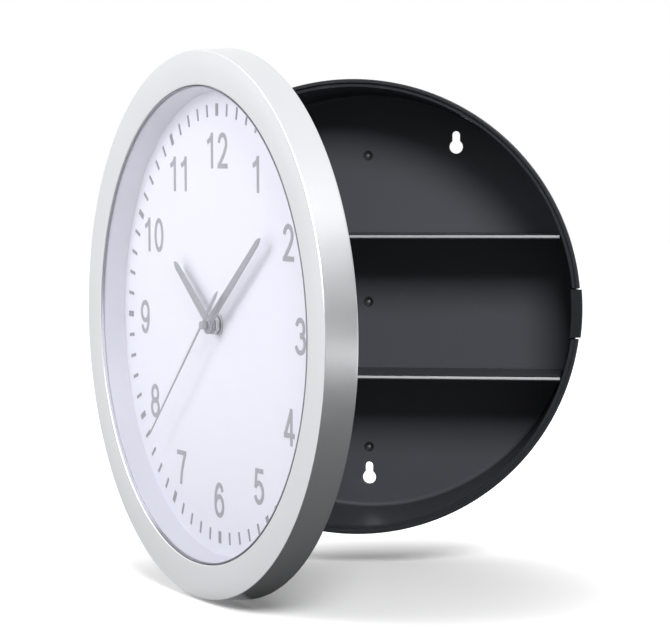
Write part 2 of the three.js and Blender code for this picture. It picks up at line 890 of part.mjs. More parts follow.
// Fixing of the movement: a washer behind the plate, a washer and a nut in front of the dial
const rubberWasherY = plateBackY + gap;
const movementFrontY = rubberWasherY + rubberWasherThickness + gap;
addPiece(
  clock,
  "rubber_washer",
  tube(rubberWasherRadius, fixingHole, rubberWasherY, rubberWasherY + rubberWasherThickness),
  looks.rubber,
);
const brassWasherY = -gap;
const nutY = brassWasherY - brassWasherThickness - gap;
addPiece(
  clock,
  "brass_washer",
  tube(brassWasherRadius, fixingHole, brassWasherY - brassWasherThickness, brassWasherY),
  looks.brass,
);
addPiece(
  clock,
  "fixing_nut",
  cut(
    rod(0, 0, nutRadius, nutY - nutThickness, nutY, nutSides),
    rod(0, 0, fixingHole, nutY - nutThickness - overrun, nutY + overrun, hubSides),
  ),
  looks.brass,
);

// Movement housing: a flat front cover with the threaded neck, and a tray behind it
const contactSeat = contactThickness + gap;
const cellRoom = contactSpringRoom + cellLength + cellNubLength + gap + contactSeat;
const halfWidth = cellRoom / 2 + movementWall;
const movementDepth = 2 * cellRadius - cellProud;
const bayHeight = 2 * cellRadius + bayClearance;
const trayY = movementFrontY + movementCoverThickness + gap;
const trayBackY = trayY + movementDepth;
const floorY = trayBackY - movementWall;
const innerHalf = halfWidth - movementWall;
const chamberLowZ = -chamberDrop;
const bayTopZ = chamberLowZ - bayWall;
const bayLowZ = bayTopZ - bayHeight;
const trayLowZ = bayLowZ - movementWall;
const trayTopZ = chamberRise + movementWall;

addPiece(
  clock,
  "movement_cover",
  cut(
    join(
      block(
        -halfWidth,
        halfWidth,
        movementFrontY,
        movementFrontY + movementCoverThickness,
        trayLowZ,
        trayTopZ,
      ),
      rod(0, 0, bushingRadius, -bushingHeight, movementFrontY + movementCoverThickness / 2, hubSides),
    ),
    rod(0, 0, hourTubeRadius + gap, -bushingHeight - overrun, trayY, hubSides),
  ),
  looks.blackPlastic,
);

// Gear places, seen from the front
const centreAxis = [0, 0];
const intermediateAxis = atClockAngle(centreAxis, secondsDistance, secondsAngle);
const rotorAxis = atClockAngle(intermediateAxis, rotorDistance, rotorAngle);
const thirdAxis = atClockAngle(centreAxis, thirdDistance, thirdAngle);
const transferAxis = atClockAngle(centreAxis, motionDistance, motionAngle);
const motionModule = (2 * motionDistance) / (cannonTeeth + transferWheelTeeth);
const knobAxis = atClockAngle(
  transferAxis,
  (motionModule * (transferWheelTeeth + knobGearTeeth)) / 2,
  knobAngle,
);

// Levels from the front of the movement to its back
const levels = Array.from({ length: 6 }, (_, i) => trayY + gap + levelPitch * i);
const [hourLevel, motionLevel, centreLevel, thirdLevel, secondsLevel, rotorLevel] = levels;
const arborFrontY = movementFrontY + movementCoverThickness + gap;
const arborBackY = floorY - gap;

// A toothed disc on its axis. Its tips stop short of its neighbour's.
function gear([x, z], teeth, distance, teethSum, y, thickness, bore = 0) {
  const module = (2 * distance) / teethSum;
  const tip = (module * teeth) / 2 - meshGap / 2;
  const root = tip - toothDepthShare * module;
  const points = Array.from({ length: teeth * 2 }, (_, i) => {
    const radius = i % 2 ? root : tip;
    const angle = (i / teeth) * Math.PI;
    return [x + radius * Math.sin(angle), z + radius * Math.cos(angle)];
  });
  const body = prism(outline(points), y, y + thickness);
  return bore ? cut(body, rod(x, z, bore, y - overrun, y + thickness + overrun)) : body;
}

function arbor([x, z], y0 = arborFrontY, y1 = arborBackY) {
  return rod(x, z, arborRadius, y0, y1, smallSides);
}

const statorLevel = secondsLevel;
const coreEnds = [coilX - coilLength / 2 - coilCoreReach, coilX + coilLength / 2 + coilCoreReach];
const boardX = innerHalf - gap - boardWidth;
const boardZ = chamberRise - gap - boardHeight;

const statorPosts = coreEnds.map((x) =>
  rod(x, coilZ, postRadius, statorLevel + statorThickness + gap, floorY + movementWall / 2),
);
addPiece(
  clock,
  "movement_tray",
  join(
    cut(
      block(-halfWidth, halfWidth, trayY, trayBackY, trayLowZ, trayTopZ),
      block(-innerHalf, innerHalf, trayY - overrun, floorY, chamberLowZ, chamberRise),
      block(-innerHalf, innerHalf, trayY - overrun, trayBackY + overrun, bayLowZ, bayTopZ),
      rod(...knobAxis, knobShaftRadius + gap, floorY - overrun, trayBackY + overrun),
    ),
    ...statorPosts,
  ),
  looks.blackPlastic,
);

// Battery, lying across the bay with its positive end on the right
const cellZ = bayLowZ + gap + cellRadius;
const cellY = trayY + gap + cellRadius;
const cellNubEnd = innerHalf - contactSeat - gap;
const cellRight = cellNubEnd - cellNubLength;
const cellLeft = cellRight - cellLength;

function lyingRod(radius, x0, x1, y, z, sides = hubSides) {
  const cylinder = new THREE.CylinderGeometry(radius, radius, x1 - x0, sides);
  cylinder.rotateZ(Math.PI / 2);
  cylinder.translate((x0 + x1) / 2, y, z);
  return solid(cylinder);
}

addPiece(
  clock,
  "battery",
  join(
    lyingRod(cellRadius, cellLeft, cellRight, cellY, cellZ),
    lyingRod(cellNubRadius, cellRight - cellNubLength, cellNubEnd, cellY, cellZ, smallSides),
  ),
  looks.cellWrap,
);

function contactPlate(x0) {
  const reach = contactWidth / 2;
  return block(x0, x0 + contactThickness, cellY - reach, cellY + reach, cellZ - reach, cellZ + reach);
}

addPiece(clock, "positive_contact", contactPlate(innerHalf - contactSeat), looks.steel);
addPiece(
  clock,
  "negative_contact",
  join(
    contactPlate(-innerHalf + gap),
    lyingRod(
      contactBulgeRadius,
      -innerHalf + gap + contactThickness / 2,
      Math.min(-innerHalf + contactSeat + contactBulge, cellLeft - gap),
      cellY,
      cellZ,
      smallSides,
    ),
  ),
  looks.steel,
);

// Stepping motor: the stator's core runs through the coil, and its arms meet round the rotor
const statorBackY = statorLevel + statorThickness;

// An arm leaves the rotor sideways and turns up to the end of the core
function statorArm(endX) {
  const [rx, rz] = rotorAxis;
  const path = [
    [rx, rz],
    [endX, rz + statorElbowRise],
    [endX, coilZ],
  ];
  return prism(bandOutline(path, statorArmWidth, false), statorLevel, statorBackY);
}

const coreHalf = statorArmWidth / 2;
addPiece(
  clock,
  "stator",
  cut(
    join(
      rod(...rotorAxis, statorBore + statorRingWidth, statorLevel, statorBackY, hubSides),
      ...coreEnds.map(statorArm),
      ...coreEnds.map((x) => rod(x, coilZ, coreHalf, statorLevel, statorBackY)),
      block(coreEnds[0], coreEnds[1], statorLevel, statorBackY, coilZ - coreHalf, coilZ + coreHalf),
    ),
    rod(...rotorAxis, statorBore, statorLevel - overrun, statorBackY + overrun, hubSides),
  ),
  looks.greyMetal,
);
const coilY = (statorLevel + statorBackY) / 2;
addPiece(
  clock,
  "coil",
  cut(
    lyingRod(coilRadius, coilX - coilLength / 2, coilX + coilLength / 2, coilY, coilZ),
    block(
      coreEnds[0],
      coreEnds[1],
      statorLevel - gap,
      statorBackY + gap,
      coilZ - coreHalf - gap,
      coilZ + coreHalf + gap,
    ),
  ),
  looks.copper,
);
const magnetY = rotorLevel - gap - magnetLength;
addPiece(
  clock,
  "rotor",
  join(
    arbor(rotorAxis),
    rod(...rotorAxis, magnetRadius, magnetY, magnetY + magnetLength, hubSides),
    gear(
      rotorAxis,
      rotorPinionTeeth,
      rotorDistance,
      rotorPinionTeeth + intermediateWheelTeeth,
      rotorLevel - gap,
      pinionThickness,
    ),
  ),
  looks.greyMetal,
);

// Going train, from the rotor to the wheel that turns once an hour
addPiece(
  clock,
  "intermediate_wheel",
  join(
    arbor(intermediateAxis),
    gear(
      intermediateAxis,
      intermediateWheelTeeth,
      rotorDistance,
      rotorPinionTeeth + intermediateWheelTeeth,
      rotorLevel,
      wheelThickness,
    ),
    gear(
      intermediateAxis,
      intermediatePinionTeeth,
      secondsDistance,
      intermediatePinionTeeth + secondsWheelTeeth,
      secondsLevel - gap,
      pinionThickness,
    ),
  ),
  looks.gearPlastic,
);

const secondsShaftEnd = -secondHandHeight - secondBladeThickness / 2;
addPiece(
  clock,
  "seconds_wheel",
  join(
    rod(0, 0, secondsShaftRadius, secondsShaftEnd, arborBackY, smallSides),
    gear(
      centreAxis,
      secondsWheelTeeth,
      secondsDistance,
      intermediatePinionTeeth + secondsWheelTeeth,
      secondsLevel,
      wheelThickness,
    ),
    gear(
      centreAxis,
      secondsPinionTeeth,
      thirdDistance,
      secondsPinionTeeth + thirdWheelTeeth,
      thirdLevel - gap,
      pinionThickness,
    ),
  ),
  looks.gearPlastic,
);

addPiece(
  clock,
  "third_wheel",
  join(
    arbor(thirdAxis),
    gear(
      thirdAxis,
      thirdWheelTeeth,
      thirdDistance,
      secondsPinionTeeth + thirdWheelTeeth,
      thirdLevel,
      wheelThickness,
    ),
    gear(
      thirdAxis,
      thirdPinionTeeth,
      thirdDistance,
      thirdPinionTeeth + centreWheelTeeth,
      centreLevel - gap,
      pinionThickness,
    ),
  ),
  looks.gearPlastic,
);

addPiece(
  clock,
  "centre_wheel",
  gear(
    centreAxis,
    centreWheelTeeth,
    thirdDistance,
    thirdPinionTeeth + centreWheelTeeth,
    centreLevel,
    wheelThickness,
    minuteTubeRadius + gap,
  ),
  looks.gearPlastic,
);

// Motion work, from the minute hand's tube to the hour hand's tube
const minuteTubeFront = -minuteHandHeight - bladeThickness / 2;
addPiece(
  clock,
  "cannon_pinion",
  cut(
    join(
      rod(0, 0, minuteTubeRadius, minuteTubeFront, centreLevel + wheelThickness, hubSides),
      gear(
        centreAxis,
        cannonTeeth,
        motionDistance,
        cannonTeeth + transferWheelTeeth,
        motionLevel,
        wheelThickness,
      ),
    ),
    rod(0, 0, secondsShaftRadius + gap, minuteTubeFront - overrun, secondsLevel, smallSides),
  ),
  looks.brass,
);

addPiece(
  clock,
  "transfer_wheel",
  join(
    arbor(transferAxis),
    gear(
      transferAxis,
      transferWheelTeeth,
      motionDistance,
      cannonTeeth + transferWheelTeeth,
      motionLevel,
      wheelThickness,
    ),
    gear(
      transferAxis,
      transferPinionTeeth,
      motionDistance,
      transferPinionTeeth + hourWheelTeeth,
      hourLevel - gap / 2,
      levelPitch,
    ),
  ),
  looks.gearPlastic,
);

const hourTubeFront = -hourHandHeight - bladeThickness / 2;
addPiece(
  clock,
  "hour_wheel",
  cut(
    join(
      rod(0, 0, hourTubeRadius, hourTubeFront, hourLevel + wheelThickness / 2, hubSides),
      gear(
        centreAxis,
        hourWheelTeeth,
        motionDistance,
        transferPinionTeeth + hourWheelTeeth,
        hourLevel,
        wheelThickness,
      ),
    ),
    rod(0, 0, minuteTubeRadius + gap, hourTubeFront - overrun, hourLevel + levelPitch, hubSides),
  ),
  looks.gearPlastic,
);

// Setting knob: its gear drives the transfer wheel, and its ribbed head stands behind the tray
function ribbedDisc([x, z], radius, y0, y1) {
  const points = Array.from({ length: knobRibs * 4 }, (_, i) => {
    const reach = i % 4 < 2 ? radius : radius - knobRibDepth;
    const angle = (i / (knobRibs * 2)) * Math.PI;
    return [x + reach * Math.sin(angle), z + reach * Math.cos(angle)];
  });
  return prism(outline(points), y0, y1);
}

const knobFrontY = trayBackY + gap;
addPiece(
  clock,
  "setting_knob",
  join(
    rod(...knobAxis, knobShaftRadius, arborFrontY, knobFrontY + knobThickness / 2),
    gear(
      knobAxis,
      knobGearTeeth,
      (motionModule * (transferWheelTeeth + knobGearTeeth)) / 2,
      transferWheelTeeth + knobGearTeeth,
      motionLevel,
      wheelThickness,
    ),
    ribbedDisc(knobAxis, knobRadius, knobFrontY, knobFrontY + knobThickness),
  ),
  looks.whitePlastic,
);

// Circuit board against the back of the tray, with the crystal lying in front of it
const boardBackY = floorY - gap;
const boardFrontY = boardBackY - boardThickness;
addPiece(
  clock,
  "circuit_board",
  join(
    block(boardX, boardX + boardWidth, boardFrontY, boardBackY, boardZ, boardZ + boardHeight),
    rod(
      boardX + boardWidth / 2,
      boardZ + boardHeight / 3,
      chipRadius,
      boardFrontY - chipHeight,
      boardFrontY + boardThickness / 2,
      hubSides,
    ),
  ),
  looks.board,
);
addPiece(
  clock,
  "quartz_crystal",
  lyingRod(
    crystalRadius,
    boardX + (boardWidth - crystalLength) / 2,
    boardX + (boardWidth + crystalLength) / 2,
    boardFrontY - gap - crystalRadius,
    boardZ + (boardHeight * 3) / 4,
    smallSides,
  ),
  looks.steel,
);

// Hands, drawn pointing at twelve and turned about the middle of the dial

function handGroup(angle) {
  const turning = new THREE.Group();
  turning.rotation.y = angle * degree;
  clock.add(turning);
  return turning;
}

// A straight blade that narrows to a short point, with a round hub and a bore
function bladeHand(height, reach, base, tip, bore) {
  const y0 = -height - bladeThickness / 2;
  const y1 = y0 + bladeThickness;
  const blade = outline([
    [-base / 2, 0],
    [base / 2, 0],
    [tip / 2, reach - handPoint],
    [0, reach],
    [-tip / 2, reach - handPoint],
  ]);
  return cut(
    join(prism(blade, y0, y1), rod(0, 0, handHubRadius, y0, y1, hubSides)),
    rod(0, 0, bore, y0 - overrun, y1 + overrun, hubSides),
  );
}

addPiece(
  handGroup(hourHandAngle),
  "hour_hand",
  bladeHand(
    hourHandHeight,
    tickRadius - hourHandInset,
    hourHandBase,
    hourHandTip,
    hourTubeRadius + gap,
  ),
  looks.greyMetal,
);
addPiece(
  handGroup(minuteHandAngle),
  "minute_hand",
  bladeHand(
    minuteHandHeight,
    tickRadius - minuteHandInset,
    minuteHandBase,
    minuteHandTip,
    minuteTubeRadius + gap,
  ),
  looks.greyMetal,
);

const secondHandReach = tickRadius - secondHandInset;
const secondBladeY = -secondHandHeight - secondBladeThickness / 2;
const bossFrontY = -secondHandHeight - secondBossNose;
const bossBackY = bossFrontY + secondBossHeight;
const secondBlade = outline([
  [-secondHandBase / 2, 0],
  [-secondTailWidth / 2, -secondTailPointLength],
  [0, -secondTailReach],
  [secondTailWidth / 2, -secondTailPointLength],
  [secondHandBase / 2, 0],
  [secondHandTip / 2, secondHandReach],
  [-secondHandTip / 2, secondHandReach],
]);
addPiece(
  handGroup(secondHandAngle),
  "second_hand",
  cut(
    join(
      prism(secondBlade, secondBladeY, secondBladeY + secondBladeThickness),
      rod(0, 0, secondBossRadius, bossFrontY, bossBackY, hubSides),
    ),
    rod(0, 0, secondsShaftRadius + gap, secondsShaftEnd - gap, bossBackY + tubeEngagement, smallSides),
  ),
  looks.greyMetal,
);

export default group;
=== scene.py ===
"""Looks of a round quartz wall clock whose whole front opens as the door of a hidden safe.

Shapes are worked out in millimetres, on two drawing frames. The case frame has its origin at
the middle of the flat back of the case, with x to the right, y into the wall and z up. The clock
frame has its origin at the middle of the face of the dial, and turns with the open door.
"""
import json
import math
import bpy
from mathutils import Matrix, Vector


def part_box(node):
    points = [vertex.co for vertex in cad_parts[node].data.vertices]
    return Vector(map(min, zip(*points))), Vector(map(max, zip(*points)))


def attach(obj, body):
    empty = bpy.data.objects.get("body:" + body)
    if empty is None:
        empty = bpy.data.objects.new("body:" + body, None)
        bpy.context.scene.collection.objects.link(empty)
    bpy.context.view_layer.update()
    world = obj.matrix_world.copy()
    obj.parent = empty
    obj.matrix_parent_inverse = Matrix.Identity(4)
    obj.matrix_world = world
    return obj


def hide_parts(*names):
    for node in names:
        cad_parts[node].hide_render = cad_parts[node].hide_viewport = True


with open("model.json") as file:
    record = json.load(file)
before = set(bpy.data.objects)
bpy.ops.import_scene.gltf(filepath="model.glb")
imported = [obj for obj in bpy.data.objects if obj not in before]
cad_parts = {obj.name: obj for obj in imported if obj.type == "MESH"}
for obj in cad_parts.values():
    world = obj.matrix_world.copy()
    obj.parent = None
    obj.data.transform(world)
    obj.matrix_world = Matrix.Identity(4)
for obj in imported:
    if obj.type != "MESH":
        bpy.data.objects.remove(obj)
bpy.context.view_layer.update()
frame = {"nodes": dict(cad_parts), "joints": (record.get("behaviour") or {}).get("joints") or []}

from types import SimpleNamespace

import bmesh
import bpy
import numpy as np
from bpy.props import FloatProperty, FloatVectorProperty, IntProperty, PointerProperty
from mathutils import Matrix, Vector
from mathutils.geometry import tessellate_polygon

bl_info = {
    "name": "Round wall clock with a hidden safe",
    "version": (1, 0, 0),
    "blender": (4, 5, 0),
    "location": "View3D > Sidebar > Wall clock",
    "description": "Makes the case, door, dial, hands and movement of a round wall clock safe",
    "category": "Object",
}

MM = 0.001
TURN = 2 * math.pi

# Places and sizes that several pieces share, in millimetres and degrees
DROP = 2.3  # how far the door, the hinge and the latch lie below the middle of the case
HINGE_IN_CASE = (-115.4, -56.55)
HINGE_IN_CLOCK = (-115.4, 2.45)
KNUCKLE = (1.5, 3.0)  # bore and outer radius
PRINT_RISE = 0.15
RIM_FACE = 1.8  # width of the flat front of the rim
LEDGE_WIDTH = 2.0
LEDGE_DROP = 1.4  # how far the ledge lies behind the front of the rim
FLANGE = 3  # how deep the rim is before it steps in to the side wall
TAPER = 2.6  # how much the case narrows from the ledge to its back
TONGUE_LENGTH = 24
SHELF_TOPS = {"upper_shelf": 35.2, "lower_shelf": -33.4}
SHELF_GAP = 0.3  # from a shelf to the side wall and to its ribs
SMOOTH_ANGLE = 32  # edges that bend by more than this are sharp
SCREW_CIRCLE = 115
SCREW_ANGLES = (45, 135, 225, 315)
BORES = {"second": 0.75, "minute": 1.75, "hour": 2.75}  # of the hands, and of the cover's neck
HUB_RING = 3.9
NECK_HOLE = 3.7
TRAY_HALF = 28
CHAMBER_HALF = 26.7
KNOB = (16.025, -1.790)
CELL_MIDDLE = (13.0, -19.4)


def clock_frame():
    """The clock frame in the case frame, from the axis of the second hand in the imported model."""
    spin = next(j for j in frame["joints"] if j["name"] == "second_spin")
    back = Vector(spin["axis"]).normalized()
    if back.x < 0:
        back = -back
    right = back.cross(Vector((0, 0, 1)))
    place = Matrix((right, back, (0, 0, 1))).transposed().to_4x4()
    low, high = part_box("dial")
    middle = (low + high) / 2
    back = place.to_3x3().col[1]
    print_front = min(v.co.dot(back) for v in frame["nodes"]["dial"].data.vertices)
    place.translation = middle + back * (print_front + PRINT_RISE * MM - middle.dot(back))
    return place


CASE = Matrix.Identity(4)
CLOCK = clock_frame()


# Sizes and colours that a user would change


def size(name, description, default):
    return FloatProperty(name=name, description=description, default=default * MM, subtype="DISTANCE",
                         unit="LENGTH", precision=5)


def tint(name, description, default):
    return FloatVectorProperty(name=name, description=description, default=default, subtype="COLOR",
                               size=3, min=0.0, max=1.0)


class CaseSizes(bpy.types.PropertyGroup):
    rim_radius: size("Rim radius", "Outer radius of the open front of the case", 111)
    depth: size("Depth", "From the back of the case to its rim", 56)
    wall: size("Wall", "Thickness of the side wall", 2)
    back_wall: size("Back wall", "Thickness of the back wall", 2.2)
    shelf_thickness: size("Shelf thickness", "Thickness of both shelves", 1.8)
    sides: IntProperty(name="Sides", description="Faces around the case", default=240, min=48)


class DoorSizes(bpy.types.PropertyGroup):
    front_radius: size("Front radius", "Outer radius of the front of the bezel", 123.7)
    opening_radius: size("Opening radius", "Radius of the window in the bezel", 108)
    height: size("Height", "From the face of the dial to the front of the bezel", 11.8)
    crown: size("Crown", "How far the front of the bezel is domed", 0.25)
    sides: IntProperty(name="Sides", description="Faces around the bezel", default=288, min=48)


class HandSizes(bpy.types.PropertyGroup):
    hour_reach: size("Hour reach", "Length of the hour hand from the middle", 46.7)
    minute_reach: size("Minute reach", "Length of the minute hand from the middle", 67)
    second_reach: size("Second reach", "Length of the second hand from the middle", 80.2)
    second_tail: size("Second tail", "Length of the tail of the second hand", 23.6)
    hub_radius: size("Hub radius", "Radius of the round hubs of the hands", 4.2)


class Finishes(bpy.types.PropertyGroup):
    black: tint("Black plastic", "Colour of the case and the shelves", (0.034, 0.036, 0.042))
    silver: tint("Silver paint", "Colour of the bezel", (0.80, 0.81, 0.83))
    dial: tint("Dial", "Colour of the dial", (0.655, 0.655, 0.737))
    print: tint("Print", "Colour of the numerals and the minute track", (0.255, 0.255, 0.285))
    hands: tint("Hands", "Colour of the hands", (0.36, 0.37, 0.40))


class StageSizes(bpy.types.PropertyGroup):
    floor: size("Floor", "Width of the floor", 9000)
    lens_length: FloatProperty(name="Lens", description="Focal length of the camera in millimetres",
                               default=134.94, min=1.0)


def own_properties(group):
    """The names of the sizes and colours in a group, without those that every group has."""
    return [name for name in group.bl_rna.properties.keys() if name not in ("rna_type", "name")]


def in_mm(group):
    """The values of a group of sizes, with its lengths in millimetres."""
    values = {name: getattr(group, name) for name in own_properties(group)}
    return SimpleNamespace(**{name: v / MM if isinstance(v, float) else v for name, v in values.items()})


# Shapes on grids. Every function works on whole arrays.


def eased(points, radii, steps=5, closed=True):
    """A row of points whose corners are rounded.

    A corner P with the points A and B at its radius along both edges becomes the curve
    (1 - t)^2 A + 2 t (1 - t) P + t^2 B, with one more point beside each end to keep flats flat.
    """
    points = np.asarray(points, float)
    radii = np.broadcast_to(np.asarray(radii, float), len(points))
    t = np.linspace(0, 1, steps + 1)[:, None]
    rows = []
    for i, corner in enumerate(points):
        if radii[i] <= 0 or (not closed and i in (0, len(points) - 1)):
            rows.append(corner[None])
            continue
        to_last = points[i - 1] - corner
        to_next = points[(i + 1) % len(points)] - corner
        reach_last = min(radii[i], 0.42 * np.linalg.norm(to_last))
        reach_next = min(radii[i], 0.42 * np.linalg.norm(to_next))
        a = to_last / np.linalg.norm(to_last) * reach_last
        b = to_next / np.linalg.norm(to_next) * reach_next
        curve = corner + (1 - t) ** 2 * a + t**2 * b
        rows.append(np.vstack([corner + 1.15 * a, curve, corner + 1.15 * b]))
    return np.vstack(rows)


def oblong(x0, x1, y0, y1, radii=0, steps=5, closed=True):
    """The four corners of an oblong, rounded: also the profile of a tube with two radii and two ends."""
    return eased([(x0, y0), (x1, y0), (x1, y1), (x0, y1)], radii, steps, closed)


def ccw(loop):
    """The loop in the order that keeps its inside on the left."""
    loop = np.asarray(loop, float)
    x, z = loop.T
    area = np.sum(x * np.roll(z, -1) - np.roll(x, -1) * z)
    return loop if area > 0 else loop[::-1]


def inset(loop, distance):
    """Each point moves by (n + m) / (1 + n.m) times the distance, from its edges' left normals."""
    edge = np.roll(loop, -1, axis=0) - loop
    edge /= np.linalg.norm(edge, axis=1, keepdims=True)
    after = np.column_stack([-edge[:, 1], edge[:, 0]])
    before = np.roll(after, 1, axis=0)
    spread = np.clip(1 + np.sum(after * before, axis=1, keepdims=True), 0.35, None)
    return loop + (after + before) / spread * distance


def polar(radius, a, middle=(0, 0)):
    """Points (r sin a, r cos a) about a middle."""
    return np.column_stack([middle[0] + radius * np.sin(a), middle[1] + radius * np.cos(a)])


def circle(radius, count, middle=(0, 0)):
    return polar(radius, np.arange(count) * TURN / count, middle)


def arc(middle, radius, start, end, count):
    """Points on a circle between two clock angles in degrees."""
    return polar(radius, np.radians(np.linspace(start, end, count)), middle)


def at_clock_angle(distance, angle):
    return distance * math.sin(math.radians(angle)), distance * math.cos(math.radians(angle))


def turn_points(points, angle):
    """Turns flat points clockwise about the middle, so that up points at a clock angle."""
    a = math.radians(angle)
    x, z = np.asarray(points, float).T
    return np.column_stack([x * math.cos(a) + z * math.sin(a), z * math.cos(a) - x * math.sin(a)])


def raised(loop, level, flat="y"):
    """A flat loop in the two other directions, put at a level in the flat one."""
    return np.insert(np.asarray(loop, float), "xyz".index(flat), float(level), axis=1)


def stacked(loop, ways_in, levels):
    """A grid of the loop, at each level moved inwards by its own distance."""
    return np.stack([raised(inset(loop, d), y) for d, y in zip(ways_in, levels)])


def swept(profile, a):
    """A grid of points (r sin a, t, r cos a), from a profile of radius r and travel t."""
    r, t = profile[:, :1], profile[:, 1:2]
    across = r * np.sin(a)
    return np.stack([across, np.broadcast_to(t, across.shape), r * np.cos(a)], -1)


def threaded(crest, root, levels):
    """Profile points of a thread, in turns at its root and at its crest."""
    return np.column_stack([np.where(np.arange(len(levels)) % 2, crest, root), levels])


class Shell:
    """Grids and flat caps of one piece, collected before they become its mesh."""

    def __init__(self):
        self.points = []
        self.faces = []
        self.looks = []
        self.count = 0

    def add(self, points, faces, look=0):
        faces = [[int(v) + self.count for v in face] for face in faces]
        self.points.append(np.asarray(points, float))
        self.faces += faces
        self.looks += [look] * len(faces)
        self.count += len(points)

    def grid(self, rows, wrap=True, keep=None, look=0):
        """Quads between the neighbours of a grid of points. keep is a mask of its cells."""
        height, width = rows.shape[:2]
        across = width if wrap else width - 1
        i, j = np.meshgrid(np.arange(height - 1), np.arange(across), indexing="ij")
        k = (j + 1) % width
        quads = np.stack([i * width + j, i * width + k, (i + 1) * width + k, (i + 1) * width + j], -1)
        quads = quads[keep] if keep is not None else quads.reshape(-1, 4)
        self.add(rows.reshape(-1, 3), quads, look)

    def cap(self, loops, look=0):
        """A flat face with holes, cut into triangles."""
        corners = [[Vector(p) for p in loop] for loop in loops]
        self.add(np.vstack(loops), tessellate_polygon(corners), look)

    def turned(self, profile, sides, axis="y", middle=(0, 0), closed=True, look=0):
        """A profile of radius r and travel t turned about an axis through a middle square to it.

        The points are those of swept about y, (r cos a, r sin a, t) about z, and
        (t, r cos a, r sin a) about x. A profile that starts and ends on the axis closes in two poles.
        """
        profile = np.asarray(profile, float)
        profile = np.vstack([profile, profile[:1]]) if closed else profile
        rows = swept(profile, np.arange(sides)[None] * TURN / sides)
        order = {"y": [0, 1, 2], "z": [2, 0, 1], "x": [1, 2, 0]}[axis]
        self.grid(rows[..., order] + np.insert(np.asarray(middle, float), "xyz".index(axis), 0), look=look)

    def plate(self, outer, holes, front, back, bevel=0.2, steps=3, flat="y", look=0):
        """A board with holes. Its edge runs inwards by b (1 - sin a) and in depth by b (1 - cos a)."""
        a = np.linspace(0, math.pi / 2, steps + 1)
        ins = bevel * (1 - np.sin(a))
        deep = bevel * (1 - np.cos(a))
        ins = np.concatenate([[bevel * 1.25], ins, ins[::-1], [bevel * 1.25]])
        levels = np.concatenate([[front], front + deep, back - deep[::-1], [back]])
        caps = [[], []]
        for loop, way in [(outer, 1)] + [(hole, -1) for hole in holes]:
            loop = ccw(loop)
            rows = np.stack([raised(inset(loop, way * d), y, flat) for d, y in zip(ins, levels)])
            self.grid(rows, look=look)
            caps[0].append(rows[0])
            caps[1].append(rows[-1])
        self.cap(caps[0], look)
        self.cap(caps[1], look)

    def piece(self, name, node, slot, *finishes, body="door"):
        """Makes the mesh that replaces a node, puts it in place and ties it to its body and finishes."""
        place = CASE if body in ("case", "latch") else CLOCK
        points = np.vstack(self.points) * MM
        points = points @ np.array(place.to_3x3()).T + np.array(place.translation)
        mesh = bpy.data.meshes.new(name)
        mesh.from_pydata(points.tolist(), [], self.faces)
        mesh.polygons.foreach_set("material_index", np.array(self.looks, np.int32))
        work = bmesh.new()
        work.from_mesh(mesh)
        bmesh.ops.remove_doubles(work, verts=work.verts, dist=2e-6)
        flat = [f for f in work.faces if f.calc_area() < 1e-14]
        bmesh.ops.delete(work, geom=flat, context="FACES_ONLY")
        bmesh.ops.recalc_face_normals(work, faces=work.faces)
        work.to_mesh(mesh)
        work.free()
        mesh.polygons.foreach_set("use_smooth", np.ones(len(mesh.polygons), bool))
        mesh.set_sharp_from_angle(angle=math.radians(SMOOTH_ANGLE))
        made = bpy.data.objects.new(name, mesh)
        bpy.context.scene.collection.objects.link(made)
        for finish in finishes:
            mesh.materials.append(looks()[finish])
        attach(made, body)
        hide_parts(node)


# Finishes


class Signal:
    """A number that changes over a surface. Arithmetic on it adds Math nodes to its finish."""

    def __init__(self, finish, socket):
        self.finish = finish
        self.socket = socket

    def math(self, operation, first, second=0.0):
        node = self.finish.node("ShaderNodeMath", {"operation": operation}, {0: first, 1: second})
        return Signal(self.finish, node.outputs[0])

    def __add__(self, other):
        return self.math("ADD", self, other)

    __radd__ = __add__

    def __sub__(self, other):
        return self.math("SUBTRACT", self, other)

    def __rsub__(self, other):
        return self.math("SUBTRACT", other, self)

    def __mul__(self, other):
        return self.math("MULTIPLY", self, other)

    __rmul__ = __mul__

    def __abs__(self):
        return self.math("ABSOLUTE", self)

    def sine(self):
        return self.math("SINE", self)

    def rises(self, low, high):
        """Goes smoothly from 0 at low to 1 at high."""
        node = self.finish.node("ShaderNodeMapRange", {"interpolation_type": "SMOOTHSTEP"},
                                {"Value": self, "From Min": low, "From Max": high})
        return Signal(self.finish, node.outputs[0])


